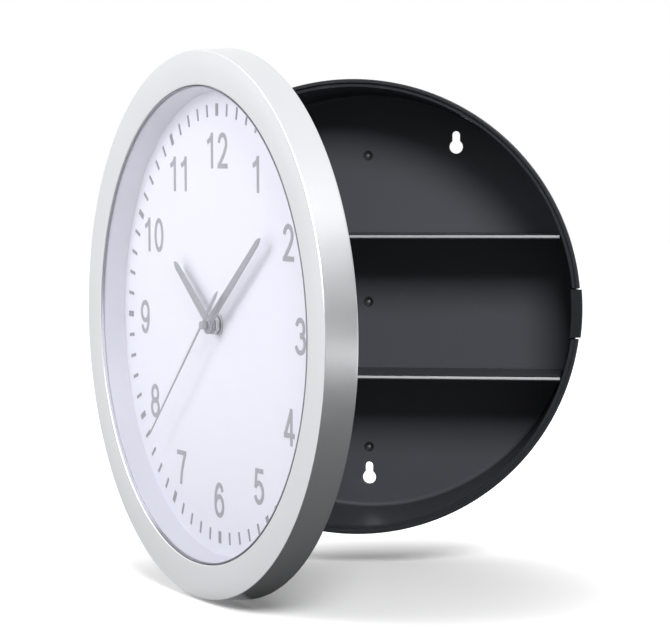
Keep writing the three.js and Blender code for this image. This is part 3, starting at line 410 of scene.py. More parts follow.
class Finish:
    """One procedural material."""

    def __init__(self, name, place=None):
        self.material = bpy.data.materials.new(name)
        self.material.use_nodes = True
        self.tree = self.material.node_tree
        self.tree.nodes.clear()
        self.output = self.tree.nodes.new("ShaderNodeOutputMaterial")
        self.spot = self.node("ShaderNodeTexCoord").outputs["Object"]
        if place is not None:
            back = place.inverted()
            self.spot = self.node("ShaderNodeMapping", {"vector_type": "POINT"}, {
                "Vector": self.spot,
                "Location": back.translation,
                "Rotation": back.to_euler("XYZ"),
            }).outputs[0]

    def node(self, kind, settings=None, inputs=None):
        """Adds a node of a type, with its settings first and then the values or links of its sockets."""
        made = self.tree.nodes.new(kind)
        for name, value in (settings or {}).items():
            setattr(made, name, value)
        for name, value in (inputs or {}).items():
            socket = made.inputs[name]
            if isinstance(value, Signal):
                value = value.socket
            if isinstance(value, bpy.types.NodeSocket):
                self.tree.links.new(value, socket)
            else:
                socket.default_value = (*value, 1) if socket.type == "RGBA" else value
        return made

    def noise(self, scale, detail=3, roughness=0.5, stretch=None):
        """Soft cloudy variation from 0 to 1. scale is in cycles per metre."""
        spot = self.spot
        if stretch is not None:
            spot = self.node("ShaderNodeVectorMath", {"operation": "MULTIPLY"},
                             {0: spot, 1: stretch}).outputs[0]
        made = self.node("ShaderNodeTexNoise", None, {"Vector": spot, "Scale": scale, "Detail": detail,
                                                      "Roughness": roughness})
        return Signal(self, made.outputs["Fac"])

    def cells(self, scale):
        """Distance to the nearest of scattered points."""
        made = self.node("ShaderNodeTexVoronoi", None, {"Vector": self.spot, "Scale": scale})
        return Signal(self, made.outputs["Distance"])

    def split(self):
        """The three coordinates in metres."""
        made = self.node("ShaderNodeSeparateXYZ", None, {0: self.spot})
        return [Signal(self, socket) for socket in made.outputs]

    def radius(self):
        """Distance from the y axis in metres."""
        x, _, z = self.split()
        square = x * x + z * z
        return square.math("SQRT", square)

    def mix(self, factor, first, second):
        made = self.node("ShaderNodeMix", {"data_type": "RGBA"}, {0: factor, 6: first, 7: second})
        return made.outputs[2]

    def bump(self, height, distance, strength=1.0):
        made = self.node("ShaderNodeBump", None, {"Height": height, "Distance": distance,
                                                  "Strength": strength})
        return made.outputs[0]

    def shade(self, colour, roughness, normal=None, metallic=0.0, **constants):
        inputs = {"Base Color": colour, "Roughness": roughness, "Metallic": metallic}
        if normal is not None:
            inputs["Normal"] = normal
        for name, value in constants.items():
            inputs[name.replace("_", " ").title().replace("Ior", "IOR")] = value
        made = self.node("ShaderNodeBsdfPrincipled", None, inputs)
        self.tree.links.new(made.outputs[0], self.output.inputs["Surface"])
        return self.material


def scaled(colour, factor):
    return tuple(min(1.0, c * factor) for c in colour)


def grey(tone, blue=0.0):
    """A grey of a tone, with a little more or less blue."""
    return tone, tone, tone + blue


def black_plastic(name, colour, polish=None, case=False):
    """Moulded black plastic: fine spark-eroded grain, slow tone changes, dust and light rubs.

    The case has a rim painted darker, a painted shade, and a rougher back wall painted lighter, a painted
    light where light falls on it. polish gives the mask and the tone of a painted edge highlight.
    """
    f = Finish(name)
    _, depth, _ = f.split()
    slow = f.noise(18, 4)
    grain = f.noise(2600, 2)
    rubs = f.noise(90, 6, 0.7, stretch=(1, 0.25, 1)).rises(0.56, 0.74)
    dust = (1 - f.cells(520).rises(0.05, 0.16)) * f.noise(60, 3).rises(0.45, 0.7)
    base = f.mix(slow, scaled(colour, 0.8), scaled(colour, 1.5))
    base = f.mix(rubs * 0.35, base, scaled(colour, 3.2))
    base = f.mix(dust * 0.55, base, (0.16, 0.165, 0.175))
    rough = 0.34 + grain * 0.12 + rubs * 0.14 + dust * 0.2 - slow * 0.06
    if case:
        # Painted shade: the front of the rim is painted darker than the rest of the plastic.
        rim = 1 - depth.rises(-0.0530, -0.0520)
        # Painted light: the inside face of the back wall is painted lighter, where light falls on it.
        back_wall = depth.rises(-0.0040, -0.0026) * (1 - depth.rises(-0.0012, -0.0010))
        base = f.mix(rim * 0.6, base, scaled(colour, 0.3))
        base = f.mix(back_wall * 0.75, base, scaled(colour, 2.1))
        rough = rough + back_wall * 0.08
    if polish is not None:
        # Painted highlight: a lighter grey is mixed in along the edge mask.
        edge, tone = polish(f)
        base = f.mix(edge * 0.9, base, grey(tone, tone * 0.02))
        rough = rough - edge * 0.12
    height = grain * 0.5 + f.noise(700, 3) * 0.5
    return f.shade(base, rough, f.bump(height, 0.00005, 0.5), specular_ior_level=0.28)


def front_edge(top, tone):
    """A painted highlight: a lighter grey painted on the upper front edge of a shelf, where light catches it.
    """

    def polish(f):
        _, y, z = f.split()
        return (1 - y.rises(-0.0522, -0.0516)) * z.rises(top * MM - 0.0013, top * MM - 0.0009), tone

    return polish


def open_to_light(f):
    """A mask of the window's edge from about 20 to 7 round to a quarter past 9, where painted shade gives way
    to a painted highlight.
    """
    x, _, z = f.split()
    return (1 - x.rises(-0.060, -0.035)) * (1 - z.rises(-0.01, 0.02))


def silver_paint(name, colour):
    """Silver lacquer on plastic: fine flakes that tilt the surface, and painted shade in the window's lip."""
    f = Finish(name, CLOCK)
    _, depth, _ = f.split()
    # Painted shade: the lip's inner wall is painted dark grey, except in the lower left sector.
    groove = ((1 - f.radius().rises(0.10804, 0.1081)) * depth.rises(-0.0115, -0.0114)
              * (1 - depth.rises(-0.01125, -0.0111)) * (1 - open_to_light(f)))
    flakes = f.cells(5200)
    slow = f.noise(25, 3)
    base = f.mix(flakes * 0.5 + slow * 0.2, scaled(colour, 0.93), scaled(colour, 1.05))
    base = f.mix(groove * 0.8, base, grey(0.12, 0.02))
    height = flakes * 0.35 + f.noise(140, 3) * 0.65
    return f.shade(base, 0.27 + flakes * 0.10 + slow * 0.04, f.bump(height, 0.00004, 0.35), metallic=0.92,
                   coat_weight=0.25, coat_roughness=0.12)


def white_plastic(name, colour):
    """Satin white plastic with a faint moulded texture."""
    f = Finish(name)
    slow = f.noise(22, 3)
    grain = f.noise(1800, 2)
    base = f.mix(slow, scaled(colour, 0.95), scaled(colour, 1.02))
    return f.shade(base, 0.36 + grain * 0.1 + slow * 0.05, f.bump(grain, 0.00004, 0.3))


def dial_card(name, colour):
    """Smooth printed card: paper fibres, a soft coating and a slightly greyer edge."""
    f = Finish(name, CLOCK)
    fibres = f.noise(1500, 4, 0.6, stretch=(1, 1, 0.4))
    base = f.mix(f.noise(14, 3) * 0.6 + fibres * 0.4, scaled(colour, 0.965), scaled(colour, 1.02))
    base = f.mix(f.radius().rises(0.085, 0.107) * 0.25, base, scaled(colour, 0.9))
    return f.shade(base, 0.5 + fibres * 0.1, f.bump(fibres, 0.00002, 0.25))


def print_ink(name, colour):
    """Grey screen ink with small pinholes and a satin face, darker on the minute track."""
    f = Finish(name, CLOCK)
    specks = f.noise(3000, 3)
    track = f.radius().rises(0.0905, 0.0915)
    base = f.mix(specks * 0.5 + f.noise(120, 2) * 0.5, scaled(colour, 0.88), scaled(colour, 1.12))
    base = f.mix(track, base, scaled(colour, 0.7))
    return f.shade(base, 0.42 + specks * 0.16, f.bump(specks, 0.00003, 0.4))


def brushed_metal(name, colour, rough=0.28, lines=(0.05, 1, 1), metallic=1.0):
    """Sheet metal with fine parallel lines and slow changes of tone."""
    f = Finish(name, CLOCK)
    streak = f.noise(5200, 3, 0.6, stretch=lines)
    slow = f.noise(60, 3)
    base = f.mix(streak * 0.6 + slow * 0.4, scaled(colour, 0.82), scaled(colour, 1.14))
    return f.shade(base, rough + streak * 0.14 + slow * 0.06, f.bump(streak, 0.00002, 0.4),
                   metallic=metallic)


def turned_metal(name, colour):
    """Turned metal: rings about the middle of the dial, a few scratches and stained patches."""
    f = Finish(name, CLOCK)
    wave = (f.radius() * 5200).sine() * 0.5 + 0.5
    stain = f.noise(260, 4)
    scratch = f.noise(3800, 3, 0.7, stretch=(1, 1, 0.12)).rises(0.6, 0.75)
    base = f.mix(stain, scaled(colour, 0.7), scaled(colour, 1.12))
    return f.shade(base, 0.24 + wave * 0.06 + scratch * 0.14 + stain * 0.08,
                   f.bump(wave * 0.6 + scratch * 0.4, 0.00002, 0.35), metallic=1.0)


def rubber(name, colour, rough=0.72):
    """Rubber or soft plastic with talc in its pores."""
    f = Finish(name)
    pores = f.noise(1400, 4, 0.6)
    talc = f.noise(200, 4).rises(0.5, 0.8)
    base = f.mix(talc * 0.5, colour, scaled(colour, 4))
    return f.shade(base, rough + pores * 0.2, f.bump(pores, 0.00008, 0.6))


def window_seal(name):
    """The edge of the window: painted shade in grey with fine grain, and a painted highlight at the lower
    left.
    """
    f = Finish(name, CLOCK)
    grain = f.noise(1100, 3)
    base = f.mix(open_to_light(f), grey(0.18, 0.04), grey(0.58, 0.07))
    base = f.mix(grain * 0.3, base, grey(0.4, 0.04))
    return f.shade(base, 0.6 + grain * 0.2, f.bump(grain, 0.00004, 0.4))


def gear_plastic(name, colour):
    """Natural acetal: slightly waxy, with flow marks and a little grey wear."""
    f = Finish(name)
    flow = f.noise(240, 4, 0.55, stretch=(1, 0.2, 1))
    wear = f.noise(900, 3).rises(0.55, 0.8)
    base = f.mix(flow, scaled(colour, 0.86), scaled(colour, 1.04))
    base = f.mix(wear * 0.25, base, scaled(colour, 0.6))
    return f.shade(base, 0.34 + flow * 0.12 + wear * 0.1, f.bump(flow, 0.00003, 0.35),
                   subsurface_weight=0.08, subsurface_scale=0.002)


def copper_winding(name, colour):
    """Turns of enamelled wire, 0.32 mm apart, laid side by side along the coil."""
    f = Finish(name, CLOCK)
    x, _, _ = f.split()
    wire = ((x + f.noise(300, 2) * 0.00006) * (TURN / 0.00032)).sine() * 0.5 + 0.5
    base = f.mix(wire * 0.6 + f.noise(420, 3) * 0.4, scaled(colour, 0.45), scaled(colour, 1.2))
    return f.shade(base, 0.28 + (1 - wire) * 0.25, f.bump(wire, 0.00012, 0.9), metallic=0.85)


def board_lacquer(name, colour):
    """Green lacquered board with copper tracks that show through as lighter bands."""
    f = Finish(name, CLOCK)
    x, _, z = f.split()
    tracks = ((x * 2600).sine() * (z * 2100 + f.noise(90, 1) * 5).sine()).rises(0.25, 0.4)
    weave = f.noise(2600, 2, stretch=(1, 1, 0.3))
    base = f.mix(tracks, scaled(colour, 0.8), scaled(colour, 1.7))
    base = f.mix(weave * 0.2, base, scaled(colour, 0.5))
    return f.shade(base, 0.36 + weave * 0.18, f.bump(tracks * 0.7 + weave * 0.3, 0.00005, 0.5),
                   coat_weight=0.3, coat_roughness=0.15)


def cell_wrap(name):
    """Printed sleeve of a plain battery: dark grey with a copper band at its positive end."""
    f = Finish(name, CLOCK)
    x, y, z = f.split()
    band = (x + f.noise(30, 1) * 0.0004).rises(0.0115, 0.0118)
    seam = (1 - abs(z - CELL_MIDDLE[1] * MM).rises(0.00005, 0.00035)) * y.rises(0.0185, 0.0195)
    crease = f.noise(130, 4, 0.6, stretch=(0.25, 1, 1))
    base = f.mix(band, (0.030, 0.033, 0.038), (0.38, 0.17, 0.055))
    base = f.mix(crease * 0.3, base, grey(0.07, 0.005))
    base = f.mix(seam * 0.6, base, grey(0.012, 0.002))
    return f.shade(base, 0.24 + crease * 0.16 + seam * 0.2, f.bump(crease * 0.8 + seam * 0.2, 0.00004, 0.5),
                   metallic=0.35, coat_weight=0.5, coat_roughness=0.1)


def clear_lens(name):
    """A thin clear plastic window: see-through, with a gloss that grows towards grazing angles."""
    f = Finish(name)
    haze = f.noise(90, 4)
    smear = f.noise(14, 5, 0.6).rises(0.5, 0.8)
    bent = f.bump(f.noise(12, 2), 0.0002, 0.25)
    see = f.node("ShaderNodeBsdfTransparent", None, {"Color": (0.99, 0.992, 0.996)})
    gloss = f.node("ShaderNodeBsdfAnisotropic", None, {"Color": grey(1), "Roughness": 0.03 + smear * 0.05,
                                                      "Normal": bent})
    facing = Signal(f, f.node("ShaderNodeLayerWeight", None, {"Blend": 0.5}).outputs["Facing"])
    share = 0.035 + facing.math("POWER", facing, 4.0) * 0.55 + haze * 0.004
    both = f.node("ShaderNodeMixShader", None, {0: share, 1: see.outputs[0], 2: gloss.outputs[0]})
    f.tree.links.new(both.outputs[0], f.output.inputs["Surface"])
    return f.material


def studio_floor(name):
    """Matt white studio paper, barely mottled, glowing except in a painted pool of shade round the clock."""
    f = Finish(name)
    x, y, _ = f.split()
    # Painted shade: the floor glows less within a pool round the clock.
    ahead = y + 0.13
    glow_beyond_painted_shade = (x * x + ahead * ahead).rises(0.003, 0.042)
    mottle = f.noise(3, 4)
    return f.shade(f.mix(mottle, grey(0.93), grey(0.96)), 0.75 + mottle * 0.1,
                   f.bump(f.noise(400, 2), 0.0001, 0.1), specular_ior_level=0.0,
                   emission_color=f.mix(glow_beyond_painted_shade, grey(0.06), grey(0.85)), emission_strength=1.0)


def looks():
    """All finishes by name, made once."""
    if not looks.made:
        colours = bpy.context.scene.clock_finishes
        black = tuple(colours.black)
        tops = SHELF_TOPS
        looks.made.update({
            "black": black_plastic("black_moulded_plastic", black),
            "case": black_plastic("black_case_plastic", black, case=True),
            # Painted shade: the latch is the case's plastic painted darker, so that it reads as in shade.
            "latch": black_plastic("latch_plastic_painted_darker", scaled(black, 0.6), case=True),
            # Painted highlight: each shelf's front edge is painted a lighter grey, lighter on the lower
            # shelf.
            "upper_shelf": black_plastic("upper_shelf_plastic", black, front_edge(tops["upper_shelf"], 0.44)),
            "lower_shelf": black_plastic("lower_shelf_plastic", black, front_edge(tops["lower_shelf"], 0.56)),
            # Painted highlight: the gate pips are glossy and painted a lighter grey than the plastic they are
            # moulded in.
            "pip": rubber("glossy_gate_pip_painted_highlight", grey(0.16, 0.01), 0.14),
            # Painted shade: the dimples' cups are the black plastic painted four times darker.
            "pit": rubber("painted_shade_pit", scaled(black, 0.25), 0.5),
            "silver": silver_paint("silver_lacquer", tuple(colours.silver)),
            "white": white_plastic("white_satin_plastic", grey(0.565, 0.065)),
            "knob": white_plastic("knob_white_plastic", grey(0.86, -0.01)),
            "dial": dial_card("dial_card", tuple(colours.dial)),
            "print": print_ink("grey_print", tuple(colours.print)),
            "hand": brushed_metal("satin_hand_metal", tuple(colours.hands), 0.34, (1, 1, 0.05), 0.8),
            "steel": brushed_metal("bright_steel", grey(0.62, 0.02)),
            "core": brushed_metal("stator_iron", grey(0.40, 0.03), 0.38),
            "brass": turned_metal("nickelled_brass", grey(0.60)),
            "rubber": rubber("black_rubber", grey(0.012, 0.001)),
            "gear": gear_plastic("natural_acetal", (0.80, 0.78, 0.70)),
            "copper": copper_winding("enamelled_copper", (0.62, 0.22, 0.09)),
            "board": board_lacquer("green_board", (0.03, 0.13, 0.06)),
            "cell": cell_wrap("battery_sleeve"),
            "clear": clear_lens("clear_window"),
            # Painted shade, with a painted highlight at the lower left, on the edge of the window.
            "gap_shade": window_seal("painted_gap_shade_band"),
        })
    return looks.made


looks.made = {}


# Pieces of the case


def case_profile(case):
    """Radius and depth of the side wall, from the back outside, round the rim, to the back inside."""
    rim, wall = case.rim_radius, case.wall
    lip = rim - RIM_FACE
    ledge = lip - LEDGE_WIDTH
    ledge_y = -case.depth + LEDGE_DROP
    flange_y = -case.depth + FLANGE
    middle_y = -case.depth + TONGUE_LENGTH
    foot = 99

    def inner(y):
        return ledge - TAPER * (y - ledge_y) / (-case.back_wall - ledge_y)

    outside = eased([[foot, 0], [inner(0) + wall, 0], [inner(middle_y) + wall, middle_y]],
                    [0, 3, 0], 6, False)
    front = eased([
        [inner(middle_y) + wall, middle_y],
        [inner(flange_y) + wall, flange_y],
        [rim, flange_y],
        [rim, -case.depth],
        [lip, -case.depth],
        [lip, ledge_y],
        [ledge, ledge_y],
        [inner(middle_y), middle_y],
    ], [0, 0.5, 0.3, 0.45, 0.35, 0.25, 0.3, 0], 4, False)
    inside = eased([[inner(middle_y), middle_y], [inner(-case.back_wall), -case.back_wall],
                    [foot, -case.back_wall]], [0, 2.4, 0], 6, False)
    return outside, front[1:-1], inside, inner


def keyhole(x, z, head=3.4, slot=1.95, rise=5.9):
    """A round head joined to a slot that rises above it."""
    half = math.degrees(math.asin(slot / head))
    return ccw(np.vstack([arc((x, z), head, half, 360 - half, 30), arc((x, z + rise), slot, -90, 90, 14)]))


class CLOCK_OT_case(bpy.types.Operator):
    """Makes the case: a round cup with a stepped rim, keyholes, ribs and hinge ears"""

    bl_idname = "clock_safe.case"
    bl_label = "Case"

    def execute(self, context):
        case = in_mm(context.scene.clock_case)
        shell = Shell()
        inner = self.add_wall(shell, case)
        self.add_ribs(shell, inner, case.shelf_thickness)
        self.add_ears(shell)
        shell.piece("case_moulding", "case_shell", "black_plastic", "case", "pip", "pit", body="case")
        return {"FINISHED"}

    def add_wall(self, shell, case):
        """The side wall (r sin a, y, r cos a), with a gap at the latch, and both faces of the back."""
        outside, front, inside, inner = case_profile(case)
        profile = np.vstack([outside, front, inside])
        first = len(outside) - 1
        last = len(outside) + len(front)
        half_gap = 12.25
        r = profile[:, :1]
        start = np.arccos((-DROP - half_gap) / r)
        end = np.arccos((-DROP + half_gap) / r) + TURN
        long_way = start + (end - start) * np.linspace(0, 1, case.sides + 1)[None]
        short_way = end + (start + TURN - end) * np.linspace(0, 1, 11)[None, 1:-1]
        rows = swept(profile, np.hstack([long_way, short_way]))
        keep = np.ones((len(profile) - 1, rows.shape[1]), bool)
        keep[first:last, case.sides:] = False
        shell.grid(rows, keep=keep)
        sill = np.concatenate([np.arange(case.sides, rows.shape[1]), [0]])
        shell.grid(np.stack([rows[first, sill], rows[last, sill]]), wrap=False)
        shell.cap([rows[first:last + 1, 0]])
        shell.cap([rows[first:last + 1, case.sides]])
        back_holes = self.add_keyholes(shell, case.back_wall)
        front_holes = [loops[0] for loops in back_holes] + self.add_dimples(shell, case.back_wall)
        shell.cap([rows[-1]] + front_holes)
        shell.cap([rows[0]] + [loops[-1] for loops in back_holes])
        return inner

    def add_keyholes(self, shell, back_wall):
        """Keyholes with rounded edges. Gives the grid of each."""
        ease = np.array([0.55, 0.4, 0.22, 0.08, 0])
        fall = np.array([0, 0, 0.06, 0.18, 0.4])
        ins = -np.concatenate([ease, ease[::-1]])
        levels = np.concatenate([-back_wall + fall, -fall[::-1]])
        places = [at_clock_angle(90.1, -29.8), at_clock_angle(90.1, 29.8), (0, -89.6)]
        edges = [stacked(keyhole(*place), ins, levels) for place in places]
        for edge in edges:
            shell.grid(edge)
        return edges

    def add_dimples(self, shell, back_wall):
        """Round dimples with a moulded pip in each. Gives their front edges."""
        a = np.linspace(0, math.pi / 2, 5)
        radii = np.concatenate([[2.5], 2.2 + 0.2 * (1 - np.sin(a)), [1.9, 1.6]])
        deep = np.concatenate([[0], 0.2 * (1 - np.cos(a)), [0.7, 0.8]])
        pip = [[0, -1.98], [0.35, -1.96], [0.6, -1.86], [0.76, -1.66], [0.8, -1.2], [0, -1.2]]
        edges = []
        for z in (74, 0, -74):
            cup = np.stack([raised(ccw(circle(q, 28, (0, z))), -back_wall + d) for q, d in zip(radii, deep)])
            # Painted shade: look 2 is the dimple cup, painted darker than the back wall.
            shell.grid(cup, look=2)
            shell.cap([cup[-1]], look=2)
            edges.append(cup[0])
            # Painted highlight: look 1 is the pip, painted a lighter grey.
            shell.turned(pip, 18, middle=(0, z), closed=False, look=1)
        return edges

    def add_ribs(self, shell, inner, shelf_thickness):
        """The ledges under the ends of both shelves, which follow the side wall."""
        for top in SHELF_TOPS.values():
            high = top - shelf_thickness - SHELF_GAP
            low = high - 1.6
            far = max(abs(high), abs(low))
            half = [math.sqrt(inner(y) ** 2 - far**2) for y in (-43.3, -2.2)]
            for side in (-1, 1):
                loop = [(side * (half[0] - 2.6), -43.3), (side * (half[0] + 1.0), -43.3),
                        (side * (half[1] + 1.0), -1.1), (side * (half[1] - 2.6), -1.1)]
                shell.plate(eased(loop, [0.9, 0.2, 0.2, 0.2]), [], low, high, 0.3, 3, "z")

    def add_ears(self, shell):
        """Two hinge knuckles on webs that grow from the ledge of the case."""
        for side in (-1, 1):
            z0, z1 = sorted((-DROP + side * 4.0, -DROP + side * 12.0))
            shell.turned(oblong(*KNUCKLE, z0, z1, 0.35), 40, "z", HINGE_IN_CASE)
            shell.plate(oblong(-116.6, -108.2, -54.6, -52.6, 0.4), [], z0, z1, 0.35, 3, "z")


class CLOCK_OT_shelves(bpy.types.Operator):
    """Makes the two shelves"""

    bl_idname = "clock_safe.shelves"
    bl_label = "Shelves"

    def execute(self, context):
        case = in_mm(context.scene.clock_case)
        *_, inner = case_profile(case)
        front_y = -case.depth + 3.7
        back_y = -2.5
        corner = 2.3
        for node, top in SHELF_TOPS.items():
            low = top - case.shelf_thickness
            far = max(abs(top), abs(low))
            front = math.sqrt(inner(front_y) ** 2 - far**2) - SHELF_GAP
            back = math.sqrt(inner(back_y - 2) ** 2 - far**2) - SHELF_GAP
            loop = [(-front, front_y), (front, front_y), (back, back_y - corner), (back - corner, back_y),
                    (-back + corner, back_y), (-back, back_y - corner)]
            shell = Shell()
            shell.plate(eased(loop, [0.5, 0.5, 1, 1, 1, 1], 6), [], low, top, 0.42, 5, "z")
            shell.piece(node + "_board", node, "black_plastic", node, body="case")
        return {"FINISHED"}


class CLOCK_OT_latch(bpy.types.Operator):
    """Makes the spring tongue of the latch, a strip of the side wall with a bead and a thumb pad"""

    bl_idname = "clock_safe.latch"
    bl_label = "Latch tongue"

    def execute(self, context):
        """The strip is (r sin a, y, r cos a) between two heights."""
        case = in_mm(context.scene.clock_case)
        *_, inner = case_profile(case)
        depth, wall = case.depth, case.wall
        tail = -depth + TONGUE_LENGTH - 0.3
        pad, bead = 111.8, 106.3
        half_width = 11.55
        profile = eased([
            [inner(tail), tail],
            [inner(tail) + wall, tail],
            [inner(-depth + FLANGE) + wall, -depth + FLANGE],
            [pad, -depth + FLANGE],
            [pad, -depth],
            [bead, -depth],
            [bead, -depth + 5],
            [inner(-depth + 5.9), -depth + 5.9],
        ], [0.2, 0.2, 0.5, 0.3, 0.75, 0.5, 0.5, 0.5], 5)
        profile = np.vstack([profile, profile[:1]])
        start = np.arccos((-DROP + half_width) / profile[:, :1])
        end = np.arccos((-DROP - half_width) / profile[:, :1])
        rows = swept(profile, start + (end - start) * np.linspace(0, 1, 25)[None])
        shell = Shell()
        shell.grid(rows, wrap=False)
        shell.cap([rows[:-1, 0]])
        shell.cap([rows[:-1, -1]])
        shell.piece("latch_spring_tongue", "latch_tongue", "black_plastic", "latch", body="latch")
        return {"FINISHED"}


class CLOCK_OT_hinge_pin(bpy.types.Operator):
    """Makes the steel hinge pin with chamfered ends"""

    bl_idname = "clock_safe.hinge_pin"
    bl_label = "Hinge pin"

    def execute(self, context):
        shell = Shell()
        profile = [[0, -22.6], [0.85, -22.6], [1.1, -22.5], [1.2, -22.2], [1.2, 17.6], [1.1, 17.9],
                   [0.85, 18.0], [0, 18.0]]
        shell.turned(profile, 32, "z", HINGE_IN_CASE, False)
        shell.piece("hinge_rod", "hinge_pin", "steel", "steel", body="case")
        return {"FINISHED"}


# Pieces of the door


class CLOCK_OT_bezel(bpy.types.Operator):
    """Makes the silver bezel: a crowned front, a rounded lip and a flared skirt"""

    bl_idname = "clock_safe.bezel"
    bl_label = "Bezel"

    def execute(self, context):
        """The front is at y + crown s^2, where s runs from -1 at the window to 1 at the outer edge."""
        door = in_mm(context.scene.clock_door)
        front, opening, crown = door.front_radius, door.opening_radius, door.crown
        y = -door.height
        skirt_y = 3.7
        share = np.linspace(-0.8, 0.4, 7)
        face = np.column_stack([(front + opening) / 2 + (front - opening) / 2 * share, y + crown * share**2])
        corners = np.vstack([
            [[opening, y + crown]],
            face,
            [[front, y + crown], [front + 1.1, skirt_y], [front - 0.9, skirt_y], [front - 1.9, y + 2],
             [opening, y + 2]],
        ])
        radii = [0.75] + [0] * len(face) + [0.4, 0.85, 0.3, 0.9, 0.3]
        shell = Shell()
        shell.turned(eased(corners, radii, 6), door.sides)
        for angle in SCREW_ANGLES:
            shell.turned(oblong(1.5, 3, -9.9, 0.5, [0, 0, 0.3, 0.2]), 32,
                         middle=at_clock_angle(SCREW_CIRCLE, angle))
        shell.piece("bezel_ring", "door_bezel", "silver_plastic", "silver")
        return {"FINISHED"}


class CLOCK_OT_window(bpy.types.Operator):
    """Makes the clear window and the white ring that slopes down to the dial"""

    bl_idname = "clock_safe.window"
    bl_label = "Window and sloped ring"

    def execute(self, context):
        door = in_mm(context.scene.clock_door)
        edge = door.opening_radius - 0.5
        gap_shade = edge - 0.4
        front, back = -11.5, -10.3
        shell = Shell()
        shell.turned([[gap_shade, back], [60, back], [0, back]], door.sides, closed=False)
        shell.turned([[0, front], [60, front], [gap_shade, front]], door.sides, closed=False)
        # The rounded edge of the window gets a dark painted shade, standing for the shadow in the gap at the
        # bezel.
        rounded_edge = oblong(gap_shade, edge, front, back, [0, 0.3, 0.2, 0], 3, False)
        shell.turned(rounded_edge, door.sides, closed=False, look=1)
        shell.piece("clear_window_disc", "lens", "clear_plastic", "clear", "gap_shade")
        shell = Shell()
        profile = [
            [105.3, -0.02],
            [106.5, -0.02],
            [107.98, -8.3],
            [110.58, -8.3],
            [110.58, -9.5],
            [107.7, -9.5],
            [107.7, -10.0],
            [107.0, -10.0],
        ]
        shell.turned(eased(profile, [0, 0.2, 0.3, 0.3, 0.3, 0.2, 0.15, 0.25], 4), door.sides)
        shell.piece("sloped_ring", "dial_surround", "white_plastic", "white")
        return {"FINISHED"}


def curve(cx, cz, rx, rz, start, end):
    """Points (cx + rx cos a, cz + rz sin a) between two angles in degrees."""
    count = max(4, int(abs(end - start) / 7) + 1)
    a = np.radians(np.linspace(start, end, count))
    return np.column_stack([cx + rx * np.cos(a), cz + rz * np.sin(a)])


def numeral_strokes():
    """The pen strokes of the ten digits in a unit square, each an open row or a ring."""
    strokes = {
        0: [("ring", curve(0.5, 0.5, 0.5, 0.5, 0, 360)[:-1])],
        1: [("flat", [[0.62, 0], [0.62, 1]]), ("open", [[0.62, 1], [0.4, 0.86], [0, 0.77]])],
        2: [("open", np.vstack([curve(0.5, 0.72, 0.47, 0.28, 175, -35),
                                [[0.62, 0.34], [0.24, 0.14], [0.03, 0]]])), ("flat", [[0, 0], [1, 0]])],
        3: [("open", curve(0.48, 0.745, 0.44, 0.255, 165, -90)),
            ("open", curve(0.48, 0.27, 0.52, 0.27, 95, -165))],
        4: [("flat", [[0.74, 0], [0.74, 1]]), ("open", [[0.74, 1], [0, 0.25]]),
            ("flat", [[0, 0.24], [1, 0.24]])],
        5: [("flat", [[0.2, 1], [0.9, 1]]), ("open", [[0.2, 1], [0.08, 0.44]]),
            ("open", curve(0.5, 0.31, 0.5, 0.31, 142, -160))],
        6: [("ring", curve(0.5, 0.31, 0.5, 0.31, 0, 360)[:-1]),
            ("open", curve(0.52, 0.5, 0.52, 0.5, 35, 192))],
        7: [("flat", [[0, 1], [1, 1]]), ("open", [[1, 1], [0.72, 0.66], [0.5, 0.34], [0.38, -0.06]])],
        8: [("ring", curve(0.5, 0.75, 0.42, 0.25, 0, 360)[:-1]),
            ("ring", curve(0.5, 0.27, 0.5, 0.27, 0, 360)[:-1])],
    }
    strokes[9] = [(kind, 1 - np.asarray(row, float)) for kind, row in strokes[6]]
    return {digit: [(kind, np.asarray(row, float)) for kind, row in rows] for digit, rows in strokes.items()}


def band(row, width, flat_ends):
    """Two rows half a width to each side of a row of points, mitred where it bends."""
    row = row.copy()
    if flat_ends:
        row[0] += (row[0] - row[1]) / np.linalg.norm(row[0] - row[1]) * width / 2
        row[-1] += (row[-1] - row[-2]) / np.linalg.norm(row[-1] - row[-2]) * width / 2
    step = np.diff(row, axis=0)
    step /= np.linalg.norm(step, axis=1, keepdims=True)
    into = np.vstack([step[:1], step])
    out = np.vstack([step, step[-1:]])
    along = into + out
    along /= np.linalg.norm(along, axis=1, keepdims=True)
    across = np.column_stack([-along[:, 1], along[:, 0]])
    across *= width / 2 / np.sum(along * into, axis=1, keepdims=True)
    return np.vstack([row + across, (row - across)[::-1]])


